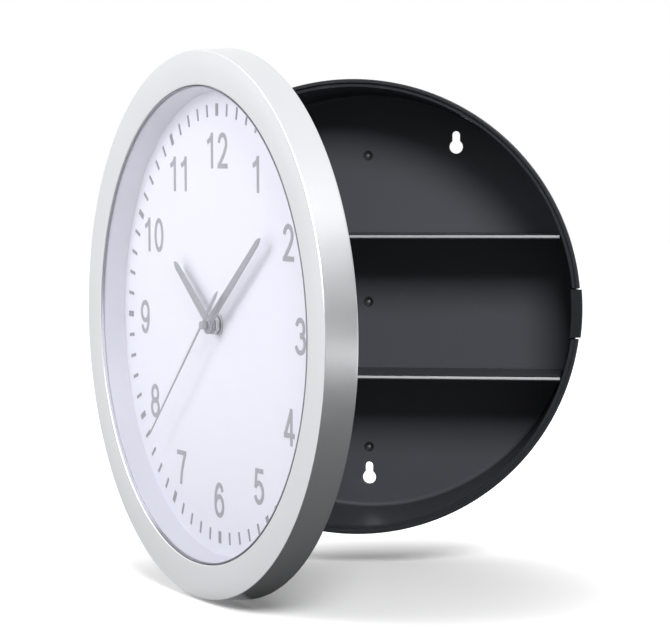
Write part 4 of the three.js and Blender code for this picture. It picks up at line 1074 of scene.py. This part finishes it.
class CLOCK_OT_dial(bpy.types.Operator):
    """Makes the dial with its printed minute track and numerals"""

    bl_idname = "clock_safe.dial"
    bl_label = "Dial"

    def execute(self, context):
        door = in_mm(context.scene.clock_door)
        shell = Shell()
        shell.turned(oblong(NECK_HOLE, 106.2, 0, 0.5, 0.12, 3), door.sides)
        for minute in range(60):
            half = 0.78 if minute % 5 else 1.35
            tick = [(-half, 94.3), (half, 94.3), (half, 99.9), (-half, 99.9)]
            self.add_print(shell, turn_points(tick, 6 * minute))
        strokes = numeral_strokes()
        for hour in range(1, 13):
            self.add_numeral(shell, hour, strokes)
        shell.piece("dial_with_print", "dial", "dial_sheet", "dial", "print")
        return {"FINISHED"}

    def add_print(self, shell, loop, holes=(), layer=0):
        """A printed shape, proud of the dial by a hair more for each layer of ink that it lies on."""
        shell.plate(loop, list(holes), -PRINT_RISE - 0.012 * layer, 0.2, 0.03, 1, look=1)

    def add_numeral(self, shell, hour, strokes):
        """The digits of an hour, at its place on a circle that is slightly widened and moved."""
        width, height, pen = 7.8, 14.0, 2.2
        pitch = 11.9
        middle_x, middle_z = at_clock_angle(79.4, 30 * hour)
        middle_x = middle_x * 1.013 - 0.3
        middle_z = middle_z - 0.7
        digits = [int(c) for c in str(hour)]
        for i, digit in enumerate(digits):
            x = middle_x + (i - (len(digits) - 1) / 2) * pitch
            for layer, (kind, row) in enumerate(strokes[digit]):
                row = (row - 0.5) * (width, height) + (x, middle_z)
                if kind == "ring":
                    row = ccw(row)
                    self.add_print(shell, inset(row, -pen / 2), [inset(row, pen / 2)], layer)
                else:
                    self.add_print(shell, band(row, pen, kind == "flat"), layer=layer)


class CLOCK_OT_back_plate(bpy.types.Operator):
    """Makes the back plate of the door with its knuckles, catch and countersunk holes"""

    bl_idname = "clock_safe.back_plate"
    bl_label = "Back plate"

    def execute(self, context):
        shell = Shell()
        radius = 122.39
        notch_x = -111.4
        half = 21.3
        edge = math.degrees(math.asin(half / radius))
        rim = arc((0, 0), radius, 270 + edge, 630 - edge, 240)
        notch = eased([rim[-1], (notch_x, -half), (notch_x, half), rim[0]], [0, 1, 1, 0], 5, False)
        outer = ccw(np.vstack([rim, notch[1:-1]]))
        ease = [0.3, 0.22, 0.08, 0, 0, 0.08, 0.22, 0.3]
        grids = [stacked(outer, ease, [0.8, 0.8, 0.88, 1.02, 2.38, 2.52, 2.6, 2.6])]
        holes = [((0, 0), [4.2, 4.0, 3.75, 3.7, 3.7, 3.75, 4.0, 4.2],
                  [0.8, 0.8, 0.86, 1.0, 2.4, 2.54, 2.6, 2.6])]
        holes += [(at_clock_angle(SCREW_CIRCLE, angle), [1.8, 1.6, 1.5, 1.5, 2.9, 2.95, 3.1, 3.3],
                   [0.8, 0.8, 0.86, 1.1, 2.3, 2.55, 2.6, 2.6]) for angle in SCREW_ANGLES]
        for middle, radii, depths in holes:
            grids.append(np.stack([raised(ccw(circle(q, 40, middle)), y) for q, y in zip(radii, depths)]))
        for rows in grids:
            shell.grid(rows)
        shell.cap([rows[0] for rows in grids])
        shell.cap([rows[-1] for rows in grids])
        for side in (-1, 1):
            z0, z1 = sorted((side * 12.3, side * 20.3))
            shell.turned(oblong(*KNUCKLE, z0, z1, 0.35), 40, "z", HINGE_IN_CLOCK)
            shell.plate(oblong(-114.9, -110.4, 0.85, 2.5, 0.3), [], z0, z1, 0.25, 3, "z")
        catch = eased([(112.6, 1.7), (115, 1.7), (115, 7.7), (112.1, 7.7), (112.1, 6.3), (112.6, 6.3)],
                      [0.2, 0.2, 0.7, 0.3, 0.3, 0.1], 4)
        shell.plate(catch, [], -9, 9, 0.3, 3, "z")
        shell.piece("door_back_plate", "door_plate", "black_plastic", "black")
        return {"FINISHED"}


class CLOCK_OT_screws(bpy.types.Operator):
    """Makes the four countersunk screws with cross recesses"""

    bl_idname = "clock_safe.screws"
    bl_label = "Cover screws"

    def execute(self, context):
        long, short = 1.35, 0.28
        top, floor = 2.3, 1.5
        quarter = np.array([(short, short), (long, short), (long, -short)])
        cross = ccw(np.vstack([turn_points(quarter, 90 * i) for i in range(4)]))
        head = [[2.35, top], [2.52, 2.27], [2.6, 2.18], [2.55, 2.08], [1.2, 1.08]]
        thread = threaded(1.2, 0.95, np.arange(1.0, -5.0, -0.3))
        profile = np.vstack([head, thread, [[0.6, -5.25], [0, -5.4]]])
        for i, angle in enumerate(SCREW_ANGLES):
            middle = at_clock_angle(SCREW_CIRCLE, angle)
            slot = cross + middle
            shell = Shell()
            shell.cap([raised(circle(head[0][0], 40, middle), top), raised(slot, top)])
            recess = stacked(slot, (0, 0.1), (top, floor))
            shell.grid(recess)
            shell.cap([recess[1]])
            shell.turned(profile, 40, middle=middle, closed=False)
            shell.piece(f"cover_screw_steel_{i + 1}", f"cover_screw_{i + 1}", "steel", "steel")
        return {"FINISHED"}


class CLOCK_OT_fixing(bpy.types.Operator):
    """Makes the washers and the nut that fix the movement through the dial"""

    bl_idname = "clock_safe.fixing"
    bl_label = "Washers and nut"

    def execute(self, context):
        shell = Shell()
        shell.turned(oblong(NECK_HOLE, 9, 2.9, 3.7, 0.25, 4), 96)
        shell.piece("rubber_disc_washer", "rubber_washer", "rubber", "rubber")
        shell = Shell()
        shell.turned(oblong(NECK_HOLE, 5, -0.9, -0.3, 0.15, 4), 80)
        shell.piece("brass_disc_washer", "brass_washer", "brass", "brass")
        shell = Shell()
        shell.plate(eased(circle(4.6, 6), 0.3, 4), [circle(NECK_HOLE, 48)], -3.4, -1.2, 0.25, 4)
        shell.piece("hex_nut", "fixing_nut", "brass", "brass")
        return {"FINISHED"}


# Pieces of the movement


class CLOCK_OT_movement(bpy.types.Operator):
    """Makes the movement's front cover with its threaded neck, and its back housing"""

    bl_idname = "clock_safe.movement"
    bl_label = "Movement housing"

    def execute(self, context):
        outline = oblong(-TRAY_HALF, TRAY_HALF, -TRAY_HALF, TRAY_HALF, 1.6)
        bore = BORES["hour"]
        shell = Shell()
        shell.plate(outline, [circle(bore, 40)], 4.0, 5.4, 0.3, 3)
        thread = threaded(3.4, 3.18, np.arange(-3.5, 3.4, 0.25))
        neck = np.vstack([[[bore, -3.7], [3.15, -3.7]], thread, [[3.4, 3.6], [3.4, 4.4], [bore, 4.4]]])
        shell.turned(neck, 48)
        shell.piece("movement_front_cover", "movement_cover", "black_plastic", "black")
        self.add_tray(outline)
        return {"FINISHED"}

    def add_tray(self, outline):
        """The back housing: its walls' edges run inwards and in depth by the rows ins and fall."""
        shell = Shell()
        chamber = oblong(-CHAMBER_HALF, CHAMBER_HALF, -10.8, CHAMBER_HALF, 0.6)
        bay = oblong(-CHAMBER_HALF, CHAMBER_HALF, -CHAMBER_HALF, -12.0, 0.6)
        shaft = ccw(circle(1.5, 32, KNOB))
        front, floor, back = 5.7, 17.7, 19.0
        ins = np.array([0.6, 0.45, 0.22, 0.08, 0])
        fall = np.array([0, 0, 0.08, 0.22, 0.45])

        def wall(loop, way, near, far, near_ease, far_ease=1.0):
            """A wall between two depths. Gives its first and last rows."""
            rows = np.concatenate([
                stacked(loop, way * ins * near_ease, near + fall * near_ease),
                stacked(loop, way * ins * far_ease, far - fall * far_ease)[::-1],
            ])
            shell.grid(rows)
            return rows[0], rows[-1]

        outer_front, outer_back = wall(outline, 1, front, back, 0.5)
        bay_front, bay_back = wall(bay, -1, front, back, 0.4, 0.6)
        chamber_front, chamber_floor = wall(chamber, -1, front, floor, 0.4, -0.4)
        shaft_floor, shaft_back = wall(shaft, -1, floor, back, 0.3, 0.5)
        shell.cap([outer_front, chamber_front, bay_front])
        shell.cap([chamber_floor, shaft_floor])
        shell.cap([outer_back, bay_back, shaft_back])
        for x in (-18.5, 8.5):
            shell.turned(oblong(0, 1.4, 12.0, 18.3, [0, 0.3, 0, 0], 3, False), 24, middle=(x, 19.5),
                         closed=False)
        shell.piece("movement_back_housing", "movement_tray", "black_plastic", "black")


class CLOCK_OT_battery(bpy.types.Operator):
    """Makes the battery and its two spring contacts"""

    bl_idname = "clock_safe.battery"
    bl_label = "Battery and contacts"

    def execute(self, context):
        shell = Shell()
        sleeve = eased([[6.1, -24.15], [7, -24.2], [7, 24.0], [6.0, 24.05]], [0, 0.5, 0.7, 0], 5, False)
        end = [[0, -24.4], [4.4, -24.4], [4.7, -24.3], [4.9, -24.05], [5.6, -24.0], [6.1, -24.15]]
        nub = [[6.0, 24.05], [5.4, 23.85], [3.2, 23.8], [2.7, 24.0], [2.6, 24.4], [2.6, 25.3], [2.4, 25.6],
               [2.0, 25.7], [0, 25.7]]
        for profile, look in ((sleeve, 0), (end, 1), (nub, 1)):
            shell.turned(profile, 96, "x", CELL_MIDDLE, False, look)
        shell.piece("battery_cell", "battery", "cell_wrap", "cell", "steel")
        tab = oblong(8.5, 17.5, -23.9, -14.9, 1.2)
        shell = Shell()
        shell.plate(tab, [], 26.0, 26.4, 0.1, 2, "x")
        shell.piece("positive_contact_tab", "positive_contact", "steel", "steel")
        shell = Shell()
        shell.plate(tab, [], -26.4, -26.0, 0.1, 2, "x")
        a = np.linspace(0, TURN * 3.4, 160)
        radius = 3.4 - 1.6 * a / a[-1]
        along = -26.0 + 0.25 + 0.85 * a / a[-1]
        depth, height = CELL_MIDDLE
        wire = np.column_stack([along, depth + radius * np.cos(a), height + radius * np.sin(a)])
        rows = tube_along(wire, 0.25, 10)
        shell.grid(rows)
        shell.cap([rows[0]])
        shell.cap([rows[-1]])
        shell.piece("negative_contact_spring", "negative_contact", "steel", "steel")
        return {"FINISHED"}


def tube_along(path, radius, sides):
    """A round wire: each point is path + radius (cos b n + sin b m), n and m square to the path."""
    tangent = np.gradient(path, axis=0)
    tangent /= np.linalg.norm(tangent, axis=1, keepdims=True)
    n = np.cross(tangent, np.array([1.0, 0.0, 0.0]))
    n /= np.linalg.norm(n, axis=1, keepdims=True)
    m = np.cross(tangent, n)
    b = (np.arange(sides) * TURN / sides)[None, :, None]
    return path[:, None] + radius * (np.cos(b) * n[:, None] + np.sin(b) * m[:, None])


def add_wheel(shell, middle, teeth, module, front, back, bore=0.0):
    """A toothed disc whose outline has four points to a tooth, between a root and a tip radius."""
    tip = module * teeth / 2 - 0.05
    root = tip - 1.1 * module
    a = (np.arange(teeth)[:, None] + np.array([-0.30, -0.16, 0.16, 0.30])[None]) * TURN / teeth
    outline = polar(np.tile([root, tip, tip, root], teeth), a.ravel(), middle)
    shell.plate(outline, [circle(bore, 28, middle)] if bore else [], front, back, 0.03, 1)


def spindle(front, back, radius=0.4):
    """Profile, number of sides and closedness of a thin spindle with coned ends."""
    return [[0, front], [radius * 0.4, front], [radius, front + radius], [radius, back - radius],
            [radius * 0.4, back], [0, back]], 20, False


def pipe(bore, radius, front, back, ease=0.12):
    """Profile, number of sides and closedness of a tube."""
    return oblong(bore, radius, front, back, ease, 3), 40, True


# The wheels of the movement: piece, node, slot, finish, body and middle, what is turned about the
# middle, and toothed discs with their teeth, module, front, back and bore
WHEELS = (
    ("magnet_rotor", "rotor", "steel", "core", "rotor_magnet", (-12.498, 9.586),
     [spindle(5.7, 17.4), pipe(0.4, 2.6, 9.7, 13.7, 0.25)], [(10, 0.2, 13.7, 15.1)]),
    ("intermediate_gear", "intermediate_wheel", "gear_plastic", "gear", "intermediate", (-6.207, 6.518),
     [spindle(5.7, 17.4)], [(60, 0.2, 14.0, 14.8), (10, 0.3, 12.1, 13.5)]),
    ("seconds_gear", "seconds_wheel", "gear_plastic", "gear", "second", (0, 0),
     [spindle(-8.8, 17.4, 0.45)], [(50, 0.3, 12.4, 13.2), (8, 0.25, 10.5, 11.9)]),
    ("third_gear", "third_wheel", "gear_plastic", "gear", "third", (6.454, 5.532),
     [spindle(5.7, 17.4)], [(60, 0.25, 10.8, 11.6), (8, 17 / 72, 8.9, 10.3)]),
    ("centre_gear", "centre_wheel", "gear_plastic", "gear", "centre", (0, 0),
     [], [(64, 17 / 72, 9.2, 10.0, 1.75)]),
    ("minute_pipe", "cannon_pinion", "brass", "brass", "minute", (0, 0),
     [pipe(0.75, 1.45, -5.9, 10.0)], [(12, 1 / 3, 7.6, 8.4, 1.2)]),
    ("transfer_gear", "transfer_wheel", "gear_plastic", "gear", "transfer", (7.190, -3.507),
     [spindle(5.7, 17.4)], [(36, 1 / 3, 7.6, 8.4), (10, 0.32, 5.85, 7.45)]),
    ("hour_pipe", "hour_wheel", "gear_plastic", "gear", "hour", (0, 0),
     [pipe(1.75, 2.45, -4.6, 6.4)], [(40, 0.32, 6.0, 6.8, 2.2)]),
)


class CLOCK_OT_wheels(bpy.types.Operator):
    """Makes the going train, the motion work and the setting knob"""

    bl_idname = "clock_safe.wheels"
    bl_label = "Wheels"

    def execute(self, context):
        for name, node, slot, finish, body, middle, turned, discs in WHEELS:
            shell = Shell()
            for profile, sides, closed in turned:
                shell.turned(profile, sides, middle=middle, closed=closed)
            for disc in discs:
                add_wheel(shell, middle, *disc)
            shell.piece(name, node, slot, finish, body=body)
        shell = Shell()
        shaft = [[0, 5.7], [0.9, 5.7], [1.2, 6.0], [1.2, 20.3], [0, 20.3]]
        shell.turned(shaft, 28, middle=KNOB, closed=False)
        add_wheel(shell, KNOB, 18, 1 / 3, 7.6, 8.4)
        ribs = 18
        crest, shoulder, groove = 5.0, 4.72, 4.6
        a = (np.arange(ribs)[:, None] + np.array([-0.28, -0.2, 0.2, 0.28, 0.36, 0.64])[None]) * TURN / ribs
        r = np.tile([shoulder, crest, crest, shoulder, groove, groove], ribs)
        shell.plate(polar(r, a.ravel(), KNOB), [], 19.3, 21.3, 0.15, 3)
        shell.piece("ribbed_setting_knob", "setting_knob", "white_plastic", "knob", body="knob")
        return {"FINISHED"}


class CLOCK_OT_circuit(bpy.types.Operator):
    """Finishes the stator and the coil, and makes the circuit board and the quartz can"""

    bl_idname = "clock_safe.circuit"
    bl_label = "Coil and circuit"

    def execute(self, context):
        for node, finish in (("stator", "core"), ("coil", "copper")):
            frame["nodes"][node].data.materials.clear()
            frame["nodes"][node].data.materials.append(looks()[finish])
        left, low = 13.4, 11.4
        shell = Shell()
        shell.plate(oblong(left, 26.4, low, 26.4, 0.4), [], 16.6, 17.4, 0.08, 2)
        x, z = left + 6.5, low + 5
        shell.turned(oblong(0, 2.0, 15.9, 16.7, [0, 0.5, 0, 0], 5, False), 36, middle=(x, z), closed=False,
                     look=1)
        solder = [[0, 16.25], [0.25, 16.3], [0.5, 16.5], [0.6, 16.62], [0, 16.62]]
        for dx in (-5, -3.4, 3.4, 5):
            for dz in (-3.2, 0.4, 9):
                shell.turned(solder, 12, middle=(x + dx, z + dz), closed=False, look=2)
        shell.piece("clock_circuit_board", "circuit_board", "circuit_board", "board", "black", "steel")
        shell = Shell()
        can = oblong(0, 1, 16.9, 22.9, [0, 0.25, 0.15, 0], 4, False)
        shell.turned(can, 32, "x", (15.3, 22.65), False)
        shell.piece("quartz_can", "quartz_crystal", "steel", "steel")
        return {"FINISHED"}


# Hands


def blade_loop(reach, base, tip, hub, angle):
    """A straight blade with a short point, joined to a round hub."""
    half = math.degrees(math.asin(base / 2 / hub))
    ring = arc((0, 0), hub, half, 360 - half, 44)
    blade = eased([ring[-1], (-tip / 2, reach - 2.6), (-0.3, reach), (0.3, reach), (tip / 2, reach - 2.6),
                   ring[0]], [0, 1.6, 0.5, 0.5, 1.6, 0], 5, False)
    return turn_points(np.vstack([ring, blade[1:-1]]), angle)


class CLOCK_OT_hands(bpy.types.Operator):
    """Makes the three hands with their hubs"""

    bl_idname = "clock_safe.hands"
    bl_label = "Hands"

    def execute(self, context):
        hands = in_mm(context.scene.clock_hands)
        hub = hands.hub_radius

        bore = BORES["hour"]
        shell = Shell()
        blade = blade_loop(hands.hour_reach, 5.2, 3.4, hub, 305.9)
        shell.plate(blade, [circle(bore, 40)], -4.6, -4.0, 0.14, 3)
        shell.turned(oblong(bore, HUB_RING, -4.1, -3.55, 0.15), 56)
        shell.piece("hour_blade", "hour_hand", "hand_metal", "hand", body="hour")

        bore = BORES["minute"]
        shell = Shell()
        blade = blade_loop(hands.minute_reach, 4.6, 3.0, hub, 52.8)
        shell.plate(blade, [circle(bore, 36)], -5.9, -5.3, 0.14, 3)
        shell.turned(oblong(bore, HUB_RING, -5.4, -4.75, 0.15), 56)
        shell.turned(eased([[bore, -6.3], [3.1, -6.3], [3.3, -5.8], [bore, -5.8]], 0.2), 56)
        shell.piece("minute_blade", "minute_hand", "hand_metal", "hand", body="minute")

        bore = BORES["second"]
        reach, tail = hands.second_reach, hands.second_tail
        loop = [(-0.65, 0), (-0.6, -3), (-1.0, -20.2), (0, -tail), (1.0, -20.2), (0.6, -3), (0.65, 0),
                (0.32, reach), (-0.32, reach)]
        needle = turn_points(eased(loop, [0, 0.4, 0.4, 0.25, 0.4, 0.4, 0, 0.12, 0.12], 4), 226.6)
        shell = Shell()
        shell.plate(needle, [], -8.8, -8.4, 0.08, 2)
        boss = eased([[0, -9.1], [1.9, -9.1], [1.9, -6.5], [bore, -6.5], [bore, -8.3], [0, -8.3]],
                     [0, 0.45, 0.2, 0.1, 0, 0], 5, False)
        shell.turned(boss, 40, closed=False)
        shell.piece("second_needle", "second_hand", "hand_metal", "hand", body="second")
        return {"FINISHED"}


# Stage, in metres

FLOOR_LEVEL = -0.1276
CARD_LEVEL = FLOOR_LEVEL + 0.0002
LOWER_CARD_LEVEL = CARD_LEVEL - 0.0001


def lying(ground, level=CARD_LEVEL):
    """Corners of a card that lies on the floor."""
    return [(x, y, level) for x, y in ground]


def upright(start, end, top):
    """Corners of a card that stands on the floor between two points."""
    return [(*start, CARD_LEVEL), (*end, CARD_LEVEL), (*end, top), (*start, top)]


# Cards that only light matt surfaces. The others only show in gloss
MATT_CARDS = ("bounce_sheet",)

# Studio cards: name, corners, and how strongly each corner glows
CARDS = (
    ("right_flag", upright((0.75, -1.1), (1.25, -0.1), 0.8), (0, 0, 0.2, 0.2)),
    ("front_flag", upright((-1.3, -1.75), (0.5, -1.75), 1.2), (0, 0, 0, 0)),
    ("corner_flag", upright((0.5, -1.75), (0.75, -1.1), 0.6), (0, 0, 0.5, 0.5)),
    ("near_flag", lying([(-1.3, -1.75), (0.5, -1.75), (0.5, -0.45), (-1.3, -0.45)], LOWER_CARD_LEVEL),
     (0, 0, 0, 0)),
    ("ground_flag", lying([(-0.03, -0.5), (0.5, -0.5), (0.5, 0.3), (-0.03, 0.3)]), (0, 0, 0, 0)),
    ("ground_step", lying([(-0.07, -0.5), (-0.03, -0.5), (-0.03, 0.3), (-0.07, 0.3)]),
     (0.45, 0.1, 0.1, 0.45)),
    ("ground_sheet", lying([(-2.4, -0.9), (-0.07, -0.5), (-0.07, 0.3), (-1.5, 1.7)]),
     (0.68, 0.55, 0.55, 0.68)),
    ("bounce_sheet", lying([(-2.0, -1.5), (-0.45, -1.3), (-0.1, -0.3), (-1.2, 0.9)]), (1.9, 1.9, 1.9, 1.9)),
    ("left_sheet", upright((-2.4, -0.9), (-1.5, 1.7), 0.35), (0.72, 0.72, 0.76, 0.76)),
)


class CLOCK_OT_stage(bpy.types.Operator):
    """Makes the floor, the soft lights, the pale surroundings and the camera"""

    bl_idname = "clock_safe.stage"
    bl_label = "Stage"

    def execute(self, context):
        stage = context.scene.clock_stage
        half = stage.floor / 2
        floor = self.add_sheet("studio_floor", lying([(-half, -half), (half, -half), (half, half),
                                                      (-half, half)], FLOOR_LEVEL))
        floor.data.materials.append(studio_floor("studio_paper"))
        floor.visible_diffuse = False
        self.add_surroundings(context.scene)
        self.add_lamp("key_softbox", 27, (0.5, -1.48, 0.87), (0, -0.05, 0), (0.6, 0.5))
        self.add_lamp("left_softbox", 26, (-1.5, -0.75, 0.85), (0, -0.1, 0), (1.2, 1.0))
        for name, corners, glows in CARDS:
            self.add_card(name, corners, glows, name in MATT_CARDS)
        self.add_camera(context.scene, stage.lens_length)
        return {"FINISHED"}

    def add_sheet(self, name, corners):
        """A flat sheet between four corners."""
        mesh = bpy.data.meshes.new(name)
        mesh.from_pydata(corners, [], [[0, 1, 2, 3]])
        made = bpy.data.objects.new(name, mesh)
        bpy.context.scene.collection.objects.link(made)
        return made

    def add_card(self, name, corners, glows, matt):
        """A studio card that only shows in gloss, or only lights matt surfaces."""
        card = self.add_sheet(name, corners)
        glow = card.data.color_attributes.new("glow", "FLOAT_COLOR", "POINT")
        glow.data.foreach_set("color", np.repeat(np.array(glows, np.float32), 4))
        f = Finish(name + "_flock")
        shine = f.node("ShaderNodeAttribute", {"attribute_name": "glow"}).outputs["Color"]
        card.data.materials.append(f.shade(f.mix(f.noise(30, 3), grey(0.03), grey(0.05)), 0.9,
                                           emission_color=shine, emission_strength=1.0))
        card.visible_camera = False
        card.visible_diffuse = matt
        card.visible_glossy = not matt
        card.visible_shadow = False
        card.visible_transmission = False

    def add_lamp(self, name, energy, place, target, lamp_size):
        """A soft rectangular lamp that faces a point."""
        lamp = bpy.data.lights.new(name, "AREA")
        lamp.energy = energy
        lamp.shape = "RECTANGLE"
        lamp.size, lamp.size_y = lamp_size
        made = bpy.data.objects.new(name, lamp)
        way = Vector(target) - Vector(place)
        made.rotation_euler = way.to_track_quat("-Z", "Y").to_euler()
        made.location = place
        bpy.context.scene.collection.objects.link(made)

    def add_surroundings(self, scene):
        """White all round, less strong where it only lights matt surfaces."""
        world = bpy.data.worlds.new("pale_studio")
        world.use_nodes = True
        tree = world.node_tree
        ray = tree.nodes.new("ShaderNodeLightPath")
        share = tree.nodes.new("ShaderNodeMath")
        share.operation = "MULTIPLY_ADD"
        share.inputs[1].default_value = -0.64
        share.inputs[2].default_value = 1.0
        tree.links.new(ray.outputs["Is Diffuse Ray"], share.inputs[0])
        tree.links.new(share.outputs[0], tree.nodes["Background"].inputs["Strength"])
        tree.nodes["Background"].inputs["Color"].default_value = (1.0, 1.0, 1.0, 1)
        scene.world = world
        scene.view_settings.view_transform = "Standard"

    def add_camera(self, scene, lens_length):
        """The camera at the photo's place, from its yaw, pitch and roll."""
        yaw, pitch, roll = (math.radians(a) for a in (9.372, -3.593, 0.264))
        turn = Matrix.Rotation(yaw, 3, "Z") @ Matrix.Rotation(pitch, 3, "X") @ Matrix.Rotation(roll, 3, "Y")
        right, ahead, up = turn.col
        data = bpy.data.cameras.new("photo_camera")
        data.lens = lens_length
        data.sensor_width = 36
        data.clip_start = 0.05
        data.clip_end = 100
        camera = bpy.data.objects.new("photo_camera", data)
        camera.matrix_world = Matrix((right, up, -ahead)).transposed().to_4x4()
        camera.matrix_world.translation = (0.1905, -1.2613, 0.0722)
        scene.collection.objects.link(camera)
        scene.camera = camera


OPERATORS = (
    CLOCK_OT_stage,
    CLOCK_OT_case,
    CLOCK_OT_shelves,
    CLOCK_OT_latch,
    CLOCK_OT_hinge_pin,
    CLOCK_OT_bezel,
    CLOCK_OT_window,
    CLOCK_OT_dial,
    CLOCK_OT_back_plate,
    CLOCK_OT_screws,
    CLOCK_OT_fixing,
    CLOCK_OT_movement,
    CLOCK_OT_battery,
    CLOCK_OT_wheels,
    CLOCK_OT_circuit,
    CLOCK_OT_hands,
)

GROUPS = {
    "clock_case": CaseSizes,
    "clock_door": DoorSizes,
    "clock_hands": HandSizes,
    "clock_finishes": Finishes,
    "clock_stage": StageSizes,
}


class CLOCK_PT_panel(bpy.types.Panel):
    """Lists the pieces of the clock"""

    bl_idname = "CLOCK_PT_panel"
    bl_label = "Wall clock"
    bl_space_type = "VIEW_3D"
    bl_region_type = "UI"
    bl_category = "Wall clock"

    def draw(self, context):
        for operator in OPERATORS:
            self.layout.operator(operator.bl_idname)
        for key in GROUPS:
            group = getattr(context.scene, key)
            for name in own_properties(group):
                self.layout.prop(group, name)


def register():
    for name, group in GROUPS.items():
        bpy.utils.register_class(group)
        setattr(bpy.types.Scene, name, PointerProperty(type=group))
    for operator in OPERATORS:
        bpy.utils.register_class(operator)
    bpy.utils.register_class(CLOCK_PT_panel)


def unregister():
    bpy.utils.unregister_class(CLOCK_PT_panel)
    for operator in reversed(OPERATORS):
        bpy.utils.unregister_class(operator)
    for name, group in GROUPS.items():
        delattr(bpy.types.Scene, name)
        bpy.utils.unregister_class(group)


def main():
    register()
    for operator in OPERATORS:
        getattr(bpy.ops.clock_safe, operator.bl_idname.split(".")[1])()


if __name__ == "__main__":
    main()
